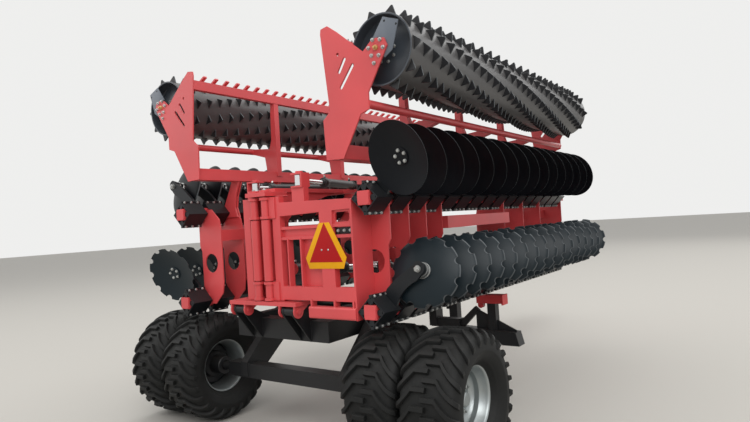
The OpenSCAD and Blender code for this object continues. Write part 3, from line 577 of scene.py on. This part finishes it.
def makeRims():
    look = rimLook
    w = look["width"] / 2
    for side, name in bothSides:
        low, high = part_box("rims_" + name)
        radius = (high.y - low.y) / 2
        # from the outer lip over the well to the inner lip, then back inside; depths from the rim's edge
        barrel = [(radius - deep, height) for deep, height in (
            (0, w + 0.004), (0.004, w + 0.002), (0.011, w - 0.006), (0.014, w - 0.030), (0.030, w - 0.055),
            (0.033, 0.0), (0.030, -w + 0.055), (0.014, -w + 0.030), (0.011, -w + 0.006),
            (0.004, -w - 0.002), (0, -w - 0.004), (0.002, -w - 0.008), (0.007, -w - 0.006),
            (0.014, -w + 0.002), (0.020, -w + 0.028), (0.036, -w + 0.060), (0.038, -w + 0.100), (0.040, 0.0),
            (0.039, w - 0.060), (0.022, w - 0.034), (0.016, w - 0.008), (0.012, w + 0.002),
            (0.007, w + 0.006), (0.002, w + 0.008))]
        # dished wheel plate with a raised ring under the studs
        dish = [(radius - 0.040, 0.030), (radius - 0.046, 0.016), *look["plate"],
                (radius - 0.044, 0.002), (radius - 0.038, 0.018)]
        bm = bmesh.new()
        studs = []
        for wheel in ("inner", "outer"):
            wheelLow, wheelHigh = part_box("tyre_%s_%s" % (name, wheel))
            at = Matrix.Translation((wheelLow + wheelHigh) / 2) @ rotation(90 * side, "Y")
            turned(bm, barrel, look["steps"], at, closed=True)
            if wheel == "inner":
                # plate set outwards, and the hub on its inner side, both in black paint: painted shade of the deep
                # well inside the twin wheels
                at = at @ Matrix.Translation((0, 0, look["innerOffset"]))
                turned(bm, dish, look["steps"], at, closed=True, slotIndex=1)
                turned(bm, look["hub"], look["hubSteps"], at, closed=True, slotIndex=1)
            else:
                turned(bm, dish, look["steps"], at, closed=True)
                turned(bm, look["cap"], look["hubSteps"], at)
                valve = [at @ Vector((radius - look["valveInset"], 0.0, z)) for z in look["valve"]]
                tube(bm, valve, look["valveRadius"], 10)
            for a in roundAngles(look["studs"]):
                seat = Vector((look["studCircle"] * math.cos(a), look["studCircle"] * math.sin(a), -0.005))
                studs.append((at @ seat, (side, 0, 0)))
        body = "wheels_" + name
        # the black coat on the inner wheel's plate and hub is painted shade
        coats = ["galvanised", "frame_black"]
        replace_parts(newPiece("dressed_rims_" + name, bm, coats, body, 30), "rims_" + name)
        bolts("wheel_nuts_" + name, studs, look["thread"], body, stud=0.014, seed=3)

makeRims()
print("rims made")

# the four gangs: places follow the clamps and the arms of the frame
gang = {
    "clampLength": 0.200, "hubFromBeam": (0.290, 0.279), "pitch": 0.250,
    "armBehindClamp": {"rear": 0.050, "front": 0.075}, "armHalf": 0.014, "armThread": 0.024,
    "openSide": (0.17, 0.94, 0.29), "hubLength": 0.080,
    "flangeBolt": 0.107, "flangeHalf": 0.012, "boltsApart": 0.070, "clampThread": 0.0115,
    # the hub's two rings as (radius, height past its end)
    "endRing": ((0.044, -0.018), (0.055, -0.018), (0.058, -0.014), (0.058, -0.003), (0.055, -0.0005),
                (0.044, -0.0005)),
    "backRing": ((0.044, -0.050), (0.0515, -0.050), (0.053, -0.047), (0.053, -0.041), (0.0515, -0.038),
                 (0.044, -0.038)),
}

def gangPlaces(side, row):
    # beam middle, hub places and open direction of one gang
    name = "right" if side > 0 else "left"
    low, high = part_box("%s_%s_clamps" % (name, row))
    middle = (low + high) / 2
    count = round((high.y - low.y - gang["clampLength"]) / gang["pitch"]) + 1
    firstClamp = low.y + gang["clampLength"] / 2
    forward = side * (1 if row == "front" else -1)
    x, y, z = gang["openSide"]
    opens = Vector((-x * side, y * forward, -z)).normalized()
    clamps = [Vector((middle.x, firstClamp + k * gang["pitch"], middle.z)) for k in range(count)]
    out, up = gang["hubFromBeam"]
    shift = gang["armBehindClamp"][row]
    hubs = [c + Vector((side * out, shift, up)) for c in clamps]
    return clamps, hubs, opens

discLook = {
    "radius": 0.255, "rimSteps": 120, "centre": 0.066, "depth": 0.048, "thick": 0.006, "ground": 0.007,
    "edge": 0.0014, "rows": (0.105, 0.15, 0.19), "lastRow": 0.035,
    "notches": 11, "notch": 0.031, "notchOut": 0.006, "notchSteps": 10, "freeSteps": 5,
    "boltCircle": 0.044, "bolts": 5, "thread": 0.013, "turnSeed": 17,
    # hub plate on the hollow side, as (radius, height over it)
    "hubPlate": ((0, 0.007), (0.030, 0.007), (0.031, 0.0085), (0.057, 0.0085), (0.060, 0.006),
                 (0.060, -0.001), (0, -0.001)),
}
groundEdge = paint("groundSteelEdge", (0.085, 0.095, 0.102), 0.38, dustAmount=0.04, metal=0.7, grain=40)
# the plain rear discs take a darker, duller copy of the disc paint: painted shade for the shade the rear row lies
# in
shadedRearDisc = paint("shadedRearDiscPaint", (0.0030, 0.0042, 0.0066), 0.42, dustAmount=0.015, grain=25, shine=0.16)

def discOutline(radius, notched):
    # (angle, radius) round the disc
    look = discLook
    if not notched:
        return [(a, radius) for a in roundAngles(look["rimSteps"])]
    n, r, steps = look["notches"], look["notch"], look["notchSteps"]
    out = radius + look["notchOut"]
    crossing = math.acos((radius ** 2 + out ** 2 - r ** 2) / (2 * radius * out))
    sweep = math.asin(min(1, radius * math.sin(crossing) / r))
    free = (2 * math.pi / n - 2 * crossing) / look["freeSteps"]
    points = []
    for centre in roundAngles(n):
        for j in range(steps + 1):
            b = -sweep + 2 * sweep * j / steps
            x, y = out - r * math.cos(b), r * math.sin(b)
            points.append((centre + math.atan2(y, x), math.hypot(x, y)))
        points += [(centre + crossing + free * j, radius) for j in range(1, look["freeSteps"])]
    return points

def discMesh(notched):
    look = discLook
    radius, flat, deep, thick = look["radius"], look["centre"], look["depth"], look["thick"]
    rim = discOutline(radius, notched)
    ball = (radius ** 2 + deep ** 2) / (2 * deep)
    def dish(r):
        return max(0.0, (ball - math.sqrt(ball ** 2 - r * r)) - (ball - math.sqrt(ball ** 2 - flat * flat)))
    bm = bmesh.new()
    def ring(radii, up):
        return [bm.verts.new((r * math.cos(a), r * math.sin(a), dish(r) + up))
                for r, (a, _) in zip(radii, rim)]
    def rimRing(inset, up):
        return ring([r - inset for _, r in rim], up)
    inside = [flat, *look["rows"], radius - look["lastRow"]]
    rows = [ring([r] * len(rim), 0.0) for r in inside]  # bulging side
    rows += [rimRing(look["ground"], 0.0), rimRing(0.0, thick - look["edge"]), rimRing(0.0005, thick)]
    rows += [ring([r] * len(rim), thick) for r in inside[::-1]]  # hollow side
    for k, (one, two) in enumerate(zip(rows, rows[1:])):
        bridge(bm, one, two, 1 if len(inside) <= k <= len(inside) + 1 else 0)
    for row, height in ((rows[0], 0), (rows[-1], thick)):
        centre = bm.verts.new((0, 0, height))
        for i in range(len(rim)):
            bm.faces.new((row[i], row[(i + 1) % len(rim)], centre))
    turned(bm, [(r, thick + z) for r, z in look["hubPlate"]], 48, Matrix())
    return bm

def makeGangs():
    for side, name in bothSides:
        body = "wing_" + name
        clampBolts, armNuts, discBolts, hubs = [], [], [], []
        for row in ("rear", "front"):
            notched = row == "front"
            clamps, hubPlaces, opens = gangPlaces(side, row)
            across = opens.orthogonal().normalized()
            other = opens.cross(across)
            seats = [h + opens * gang["hubLength"] for h in hubPlaces]
            # rear discs get the darkened disc paint as painted shade; front discs get the blue-black paint with
            # its painted sheen
            coats = ["disc_blue_black" if notched else shadedRearDisc, groundEdge]
            discs = repeated("%s_%s_disc_gang" % (name, row), discMesh(notched), coats,
                             [(s, opens) for s in seats], body, 30,
                             seed=discLook["turnSeed"] if notched else None)
            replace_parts(discs, "%s_%s_discs" % (name, row))
            for s in seats:
                for a in roundAngles(discLook["bolts"], 0.25):
                    seat = s + opens * (discLook["thick"] + 0.008)
                    seat = seat + discLook["boltCircle"] * (across * math.cos(a) + other * math.sin(a))
                    discBolts.append((seat, opens))
            hubs += [(h, opens) for h in hubPlaces]
            back = -opens.y / abs(opens.y)
            armNuts += [(h + Vector((0, back * gang["armHalf"], 0)), (0, back, 0)) for h in hubPlaces]
            for c, along, up, outward in product(clamps, (-1, 0, 1), (-1, 1), (-1, 1)):
                shift = (outward * gang["flangeHalf"], along * gang["boltsApart"], up * gang["flangeBolt"])
                clampBolts.append((c + Vector(shift), (outward, 0, 0)))
        bolts("clamp_bolts_" + name, clampBolts, gang["clampThread"], body, stud=0.005, seed=5)
        bolts("disc_bolts_" + name, discBolts, discLook["thread"], body, stud=0.002, seed=7)
        bolts("arm_nuts_" + name, armNuts, gang["armThread"], body, stud=0.008, seed=9)
        bm = bmesh.new()
        for ring in (gang["endRing"], gang["backRing"]):
            turned(bm, [(r, gang["hubLength"] + z) for r, z in ring], 56, Matrix(), closed=True)
        repeated("hub_rings_" + name, bm, ["jack_zinc"], hubs, body, 30)

makeGangs()
print("gangs made")

# packer rollers: drum with dished ends and rings of pointed teeth
drumLook = {
    "stub": 0.038, "tooth": 0.058, "toothHalf": 12.0, "point": 0.018, "teeth": 10, "ringThick": 0.010,
    "firstRing": 0.030, "ringEnds": 0.060, "ringPitch": 0.125, "twist": 5.0, "chamfer": 0.0022,
    "dish": 0.090, "hub": 0.090, "wall": 0.012, "steps": 128,
    # the middle of the dished end as (radius, depth)
    "boss": ((0, -0.034), (0.020, -0.038), (0.030, -0.034), (0.030, 0.052), (0.050, 0.056)),
}
# the drum's grey is lighter than its paint: part of the lightness is painted sheen of window light on the drum
drumPaintWithPaintedSheen = paint("drumPaintWithPaintedSheen", (0.082, 0.080, 0.081), 0.42, dustAmount=0.06, edge=0.002)
dishPaint = paint("dishPaint", (0.044, 0.054, 0.068), 0.40, dustAmount=0.05, coat=0.2)

def toothRing(radius):
    # one ring of teeth about Z, with the paint worn off the edges
    look = drumLook
    c, half = look["chamfer"], look["ringThick"] / 2
    foot, top, inner = radius - 0.003, radius + look["tooth"] - 0.004, radius - 0.010
    wide, point = math.radians(look["toothHalf"]), look["point"]
    bm = bmesh.new()
    def ring(inset, z):
        verts = []
        for middle in roundAngles(look["teeth"]):
            for turn, r in ((-wide, foot), (-point, top - inset), (point, top - inset), (wide, foot)):
                a = middle + turn * (1 - inset * 6)
                verts.append(bm.verts.new((r * math.cos(a), r * math.sin(a), z)))
        return verts
    rows = [ring(c, -half), ring(0.0, -half + c), ring(0.0, half - c), ring(c, half)]
    count = len(rows[0])
    for one, two in zip(rows, rows[1:]):
        for i in range(count):
            j = (i + 1) % count
            bm.faces.new((one[i], one[j], two[j], two[i])).material_index = 0 if i % 4 == 3 else 1
    for row in (rows[0], rows[-1]):
        hole = [bm.verts.new((inner * v.co.x / v.co.xy.length, inner * v.co.y / v.co.xy.length, v.co.z))
                for v in row]
        bridge(bm, row, hole)
    return bm

def makeRollers():
    look = drumLook
    for side, name in bothSides:
        low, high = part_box(name + "_roller")
        middle = (low + high) / 2
        radius = (high.z - low.z) / 2 - look["tooth"]
        start = low.y + look["stub"]
        length = high.y - look["stub"] - start
        body = "drum_" + name
        lie = rotation(-90, "X")
        at = Matrix.Translation((middle.x, start, middle.z)) @ lie
        deep, wall = look["dish"], look["wall"]
        near = [*look["boss"], (look["hub"], 0.060), (radius - 0.050, deep - 0.004), (radius - 0.030, deep),
                (radius - wall - 0.003, deep - 0.001), (radius - wall, deep - 0.006), (radius - wall, 0.0015),
                (radius - wall + 0.0015, 0), (radius - 0.0015, 0), (radius, 0.0015)]
        bm = bmesh.new()
        turned(bm, near + [(r, length - z) for r, z in near[::-1]], look["steps"], at)
        for face in bm.faces:
            centre = face.calc_center_median()
            if math.hypot(centre.x - middle.x, centre.z - middle.z) < radius - 0.0003:
                face.material_index = 1  # the ends
        drum = newPiece("dressed_%s_drum" % name, bm, [drumPaintWithPaintedSheen, dishPaint], body, 30)
        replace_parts(drum, name + "_roller")
        single = toothRing(radius)
        mesh = bpy.data.meshes.new("ring")
        single.to_mesh(mesh)
        single.free()
        mirror = Matrix.Translation((middle.x, 0, 0)) @ Matrix.Scale(side, 4, (1, 0, 0))
        mirror = mirror @ Matrix.Translation((-middle.x, 0, 0))
        bm = bmesh.new()
        for i in range(int((length - look["ringEnds"]) / look["ringPitch"]) + 1):
            y = start + look["firstRing"] + i * look["ringPitch"]
            seat = mirror @ Matrix.Translation((middle.x, y, middle.z)) @ lie
            seat = seat @ rotation(i * look["twist"], "Z")
            before = len(bm.verts)
            bm.from_mesh(mesh)
            bm.verts.ensure_lookup_table()
            for v in bm.verts[before:]:
                v.co = seat @ v.co
        bpy.data.meshes.remove(mesh)
        newPiece("tooth_rings_" + name, bm, ["drum_grey", groundEdge], body, 25)

makeRollers()
print("rollers made")

# warning triangle: a red field between two slanted yellow bands and one along the foot
triangleLook = {
    "top": 0.048, "corner": 0.078, "bottom": 0.160, "field": 0.156, "footBand": 0.046, "point": 0.002,
    "proud": 0.0012, "rivets": (-0.034, 0.028), "rivetHeight": 0.135,
    "rivet": ((0, 0.004), (0.004, 0.0034), (0.0070, 0.0014), (0.008, 0)),
}
warningYellow = paint("warningYellow", (0.80, 0.37, 0.004), 0.55, dustAmount=0.01, shine=0.2)

def makeTriangle():
    look = triangleLook
    low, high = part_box("warning_triangle")
    half, tall, thick = (high.x - low.x) / 2, high.z - low.z, high.y - low.y
    right = [(look["bottom"], 0), (half, look["corner"]), (look["top"], tall)]
    field = [(look["field"], look["footBand"]), (look["point"], tall - look["point"])]
    at = Matrix.Translation(((low.x + high.x) / 2, high.y, low.z)) @ rotation(90, "X")
    bm = bmesh.new()
    plate(bm, right + [(-x, z) for x, z in right[::-1]], thick, at, 0.0008, 0)
    plate(bm, field + [(-x, z) for x, z in field[::-1]], thick + look["proud"], at, 0.0003, 1)
    for x in look["rivets"]:
        seat = at @ Matrix.Translation((x, look["rivetHeight"], thick + look["proud"] - 0.0005))
        turned(bm, look["rivet"], 16, seat, slotIndex=2)
    materials = [warningYellow, "warning_red", "jack_zinc"]
    piece = newPiece("dressed_triangle", bm, materials, "wing_right", 25)
    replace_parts(piece, "warning_triangle")

makeTriangle()
print("triangle made")

# bearings, bolts and scraper clamps on the roller frames
rollerLook = {
    "boltCircle": 0.059, "firstBolt": 51, "lobeBolts": 6, "thread": 0.014, "plate": 0.012,
    "lonelyBolt": (1.176, 2.736),
    # outlines as (radius, height outwards)
    "nipple": ((0, 0.030), (0.008, 0.029), (0.010, 0.024), (0.010, 0.014), (0.016, 0.012), (0.018, 0.008),
               (0.018, -0.002), (0, -0.002)),
    "cover": ((0, -0.0005), (0.0295, -0.0005), (0.0305, -0.0015), (0.0305, -0.010), (0, -0.010)),
    "housing": 0.054, "housingDeep": 0.048, "bore": 0.034,
    "dishBolts": 8, "dishBoltCircle": 0.076, "dishBoltDeep": 0.058, "dishThread": 0.012,
    # plate behind the lobe: outline and holes as (x, z) from the middle line and the ground
    "guard": ((1.258, 3.030), (1.376, 2.982), (1.318, 2.800), (1.255, 2.760), (1.235, 2.790), (1.262, 2.830),
              (1.240, 2.880), (1.190, 2.885), (1.165, 2.905), (1.205, 2.960)),
    "guardHoles": ((1.268, 3.000), (1.358, 2.958)), "guardThick": 0.008,
    "guardHole": ((0, 0), (0.0075, 0), (0.0085, -0.0008)),
}
scraperLook = {
    "tilt": 30, "wide": 0.034, "thick": 0.014, "thread": 0.010, "bolts": (-0.048, -0.010),
    "clamp": ((-0.062, -0.015, 0), (0.012, 0.015, 0.005)),
}
blueGrey = paint("blueGreyPlate", (0.125, 0.145, 0.175), 0.42, dustAmount=0.06, edge=0.002)
brass = paint("brassNipple", (0.62, 0.40, 0.16), 0.35, dustAmount=0.04, metal=0.7)

def around(centre, radius, angle, y):
    # a place on a circle that faces along Y
    return Vector((centre.x + radius * math.cos(angle), y, centre.z + radius * math.sin(angle)))

def makeBearings(side, name):
    # at both ends: nuts, cover and grease nipple on the lobe, and the bearing's housing behind it
    look = rollerLook
    house, deep, bore = look["housing"], look["housingDeep"], look["bore"]
    housing = [(bore, 0), (house + 0.016, 0), (house + 0.018, 0.002), (house + 0.018, 0.011),
               (house + 0.014, 0.013), (house, 0.016), (house - 0.004, deep - 0.003), (house - 0.008, deep),
               (bore + 0.004, deep), (bore, deep - 0.004)]
    body = "wing_" + name
    low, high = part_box(name + "_roller")
    frameLow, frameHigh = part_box(name + "_roller_frame")
    centre = (low + high) / 2
    nuts, dishBolts = [], []
    bm, guards = bmesh.new(), bmesh.new()
    for outside, faceY, end in ((-1, frameLow.y, low.y), (1, frameHigh.y, high.y)):
        away = (0, outside, 0)
        for k in range(look["lobeBolts"]):
            a = math.radians(look["firstBolt"] + 360 / look["lobeBolts"] * k)
            a = a if side > 0 else math.pi - a
            nuts.append((around(centre, look["boltCircle"], a, faceY), away))
        x, z = look["lonelyBolt"]
        nuts.append((Vector((side * x, faceY, z)), away))
        face = facing((centre.x, faceY, centre.z), away)
        turned(bm, look["nipple"], 24, face, slotIndex=1)
        turned(bm, look["cover"], 32, face, slotIndex=2)
        back = faceY - outside * look["plate"]
        turned(bm, housing, 64, facing((centre.x, back, centre.z), (0, -outside, 0)), closed=True)
        for a in roundAngles(look["dishBolts"], 0.3):
            y = end - outside * (drumLook["stub"] + look["dishBoltDeep"])
            dishBolts.append((around(centre, look["dishBoltCircle"], a, y), away))
        at = Matrix.Translation((0, back, 0)) @ rotation(90, "X")
        plate(guards, [(side * x, z) for x, z in look["guard"]], look["guardThick"] * outside, at, 0.001)
        for x, z in look["guardHoles"]:
            turned(guards, look["guardHole"], 20, facing((side * x, back + outside * 0.0002, z), away),
                   slotIndex=1)
    housings = ["frame_black", brass, "frame_red"]
    newPiece("bearing_housings_" + name, bm, housings, body, 30)
    bolts("bearing_nuts_" + name, nuts, look["thread"], body, stud=0.008, seed=11)
    bolts("dish_bolts_" + name, dishBolts, look["dishThread"], "drum_" + name, stud=0.004, seed=12)
    newPiece("bearing_guards_" + name, guards, [blueGrey, "tyre_rubber"], body, 30)

def makeScraperClamps(side, name):
    # two bolts and a clamp plate on each scraper
    look = scraperLook
    tilt = math.radians(look["tilt"])
    low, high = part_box(name + "_scrapers")
    middle = (low + high) / 2
    normal = Vector((side * math.sin(tilt), 0, math.cos(tilt)))
    along = Vector((side * math.cos(tilt), 0, -math.sin(tilt)))
    basis = Matrix((along, (0, side, 0), normal)).transposed().to_4x4()
    bm = bmesh.new()
    spots = []
    for k in range(round((high.y - low.y - look["wide"]) / drumLook["ringPitch"]) + 1):
        y = low.y + look["wide"] / 2 + k * drumLook["ringPitch"]
        seat = Vector((middle.x, y, middle.z)) + normal * look["thick"] / 2
        block(bm, *look["clamp"], 0.001, Matrix.Translation(seat) @ basis)
        top = normal * look["clamp"][1][2]
        spots += [(seat + along * shift + top, normal) for shift in look["bolts"]]
    body = "wing_" + name
    newPiece("scraper_clamps_" + name, bm, ["frame_red"], body, 30)
    bolts("scraper_bolts_" + name, spots, look["thread"], body, stud=0.004, seed=13)

for side, name in bothSides:
    makeBearings(side, name)
    makeScraperClamps(side, name)
print("roller hardware made")

# rams: the rings and seals of each barrel, worked out from its swing and stroke
ramLook = {
    # joint name: barrel length, barrel radius, rod radius
    "tilt_ram": (0.740, 0.0475, 0.025), "lift_ram": (0.720, 0.040, 0.020),
    "fold_ram_right": (0.600, 0.035, 0.0175), "fold_ram_left": (0.640, 0.035, 0.0175),
}
liftRamX = 0.320
portLook = {
    "fromFoot": 0.085, "fromMouth": 0.030, "collar": ((0, 0.016), (0.009, 0.016), (0.011, 0.014), (0.011, 0)),
    "plug": ((0, 0.030), (0.007, 0.030), (0.0085, 0.027), (0.0085, 0.014)),
}

def makeRams():
    joints = {joint["name"]: joint for joint in frame["joints"]}
    for tag, (length, radius, rod) in ramLook.items():
        swing, stroke = joints[tag + "_swing"], joints[tag + "_stroke"]
        # head with its wiper seal at the mouth, weld collar at the foot, and the two oil ports
        head = [(radius - 0.001, length - 0.052), (radius + 0.004, length - 0.050),
                (radius + 0.006, length - 0.046), (radius + 0.006, length - 0.004),
                (radius + 0.003, length + 0.002), (rod + 0.010, length + 0.004),
                (rod + 0.006, length + 0.010), (rod + 0.0008, length + 0.010),
                (rod + 0.0008, length - 0.004), (radius - 0.001, length - 0.006)]
        foot = [(radius - 0.001, 0.040), (radius + 0.003, 0.042), (radius + 0.003, 0.056),
                (radius - 0.001, 0.060)]
        bm = bmesh.new()
        for x in ((liftRamX, -liftRamX) if tag == "lift_ram" else (0.0,)):
            at = facing(Vector(swing["pos_m"]) + Vector((x, 0, 0)), Vector(stroke["axis"]))
            turned(bm, head, 48, at, closed=True)
            turned(bm, foot, 48, at, closed=True)
            for z in (portLook["fromFoot"], length - portLook["fromMouth"]):
                port = at @ facing((0, radius - 0.003, z), (0, 1, 0))
                turned(bm, portLook["collar"], 16, port)
                turned(bm, portLook["plug"], 6, port, slotIndex=1)
        coats = ["ram_black", "jack_zinc"]
        newPiece(tag + "_fittings", bm, coats, swing["child"], 30)

makeRams()
print("rams dressed")

# bolts and welds of the steelwork; places are metres from the middle line, the axle and the ground
fishPlate = [(y, z) for y in (1.960, 2.090, 2.220) for z in (0.820, 0.900)]
hardware = [
    # name, body, thread, stud, direction, places
    ("panel_bolts", "wing_right", 0.012, 0.004, (0, -1, 0),
     [(x, -0.2655, 1.640) for x in (0.750, 0.805, 0.860)]),
    ("hinge_plate_bolts", "wing_left", 0.020, 0.010, (1, 0, 0),
     [(-0.7397, y, z) for y in (0.420, 0.470, 0.650, 0.700) for z in (1.300, 1.400, 1.500)]),
    ("hitch_bolts", "chassis", 0.022, 0.014, (0, 1, 0),
     [(x, 5.550, z) for x in (-0.062, 0.062) for z in (0.728, 0.812)]),
    ("fish_plate_bolts", "chassis", 0.018, 0.008, (1, 0, 0), [(0.102, y, z) for y, z in fishPlate]),
    ("fish_plate_bolts_left", "chassis", 0.018, 0.008, (-1, 0, 0), [(-0.102, y, z) for y, z in fishPlate]),
    ("pin_cap_bolts", "tower", 0.014, 0.004, (0, 0, 1), [(x, -0.300, 1.983) for x in (-0.060, 0.060)]),
]
panelPlate = ((0.722, -0.2660, 1.616), (0.888, -0.2610, 1.664))

def makeHardware():
    bm = bmesh.new()
    block(bm, spot(*panelPlate[0]), spot(*panelPlate[1]), 0.001)
    newPiece("panel_plate", bm, ["frame_black"], "wing_right", 30)
    for seed, (name, body, thread, stud, direction, places) in enumerate(hardware):
        bolts(name, [(spot(*place), direction) for place in places], thread, body, stud=stud, seed=20 + seed)

makeHardware()
print("bolts made")

weldLook = {
    "beamHalf": 0.050, "ribHalf": 0.007, "ribs": (0, 1, 2, 3, 8, 10, 12, 15), "firstRib": -0.065,
    # corners as (x, y) and as (y, z)
    "column": ((0.110, -0.225), (0.110, -0.105), (-0.110, -0.105), (-0.110, -0.225)),
    "columnEnds": (1.1265, 1.9345), "cheekY": -0.1045,
    "arm": ((-0.060, 0.415), (-0.060, 0.5335), (0.060, 0.5335), (0.060, 0.415)), "armFaces": (0.5095, 0.5905),
}

def upright(x, y, low, high):
    return [spot(x, y, low), spot(x, y, high)]

def makeWelds():
    # each rib round both beams, on its two faces
    look = weldLook
    half = look["beamHalf"]
    for side, name in bothSides:
        lowerLow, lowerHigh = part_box(name + "_front_clamps")
        upperLow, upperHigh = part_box(name + "_rear_clamps")
        x = side * (abs(lowerLow.x) + abs(lowerHigh.x)) / 2
        near, far = x + side * half, x - side * half
        lines = []
        for k in look["ribs"]:
            for face in (-1, 1):
                y = look["firstRib"] + gang["pitch"] * k + face * look["ribHalf"]
                for z, sign in (((lowerLow.z + lowerHigh.z) / 2, 1), ((upperLow.z + upperHigh.z) / 2, -1)):
                    z1, z2 = z - sign * half, z + sign * half
                    lines.append([spot(x, y, z1), spot(far, y, z1), spot(far, y, z2), spot(near, y, z2)])
        welds("rib_welds_" + name, lines, "wing_" + name, "frame_red")
    # tower: column to base and head, and the cheeks of the ram
    lines = [[spot(x, y, z) for x, y in look["column"]] for z in look["columnEnds"]]
    lines += [upright(x, look["cheekY"], 1.245, 1.445) for x in (-0.0725, -0.0575, 0.0575, 0.0725)]
    lines += [upright(x, look["cheekY"], 1.705, 1.930) for x in (0.0475, 0.0625, -0.0475, -0.0625)]
    welds("tower_welds", lines, "tower", "frame_red", bead=0.005)
    # frame: cross members against the rails
    lines = []
    for side in (1, -1):
        lines += [upright(side * 0.4195, y, 0.805, 0.960) for y in (1.000, 1.120, 1.780, 1.8995)]
        lines += [upright(side * 0.0905, y, 0.805, 0.958) for y in (1.000, 1.120, 1.780)]
    welds("frame_welds", lines, "chassis", "frame_black", bead=0.005)
    # axle: arms against the beam
    lines = [[spot(side * x, y, z) for y, z in look["arm"]] for side in (1, -1) for x in look["armFaces"]]
    welds("axle_welds", lines, "axle", "frame_black", bead=0.006)

makeWelds()
print("welds made")
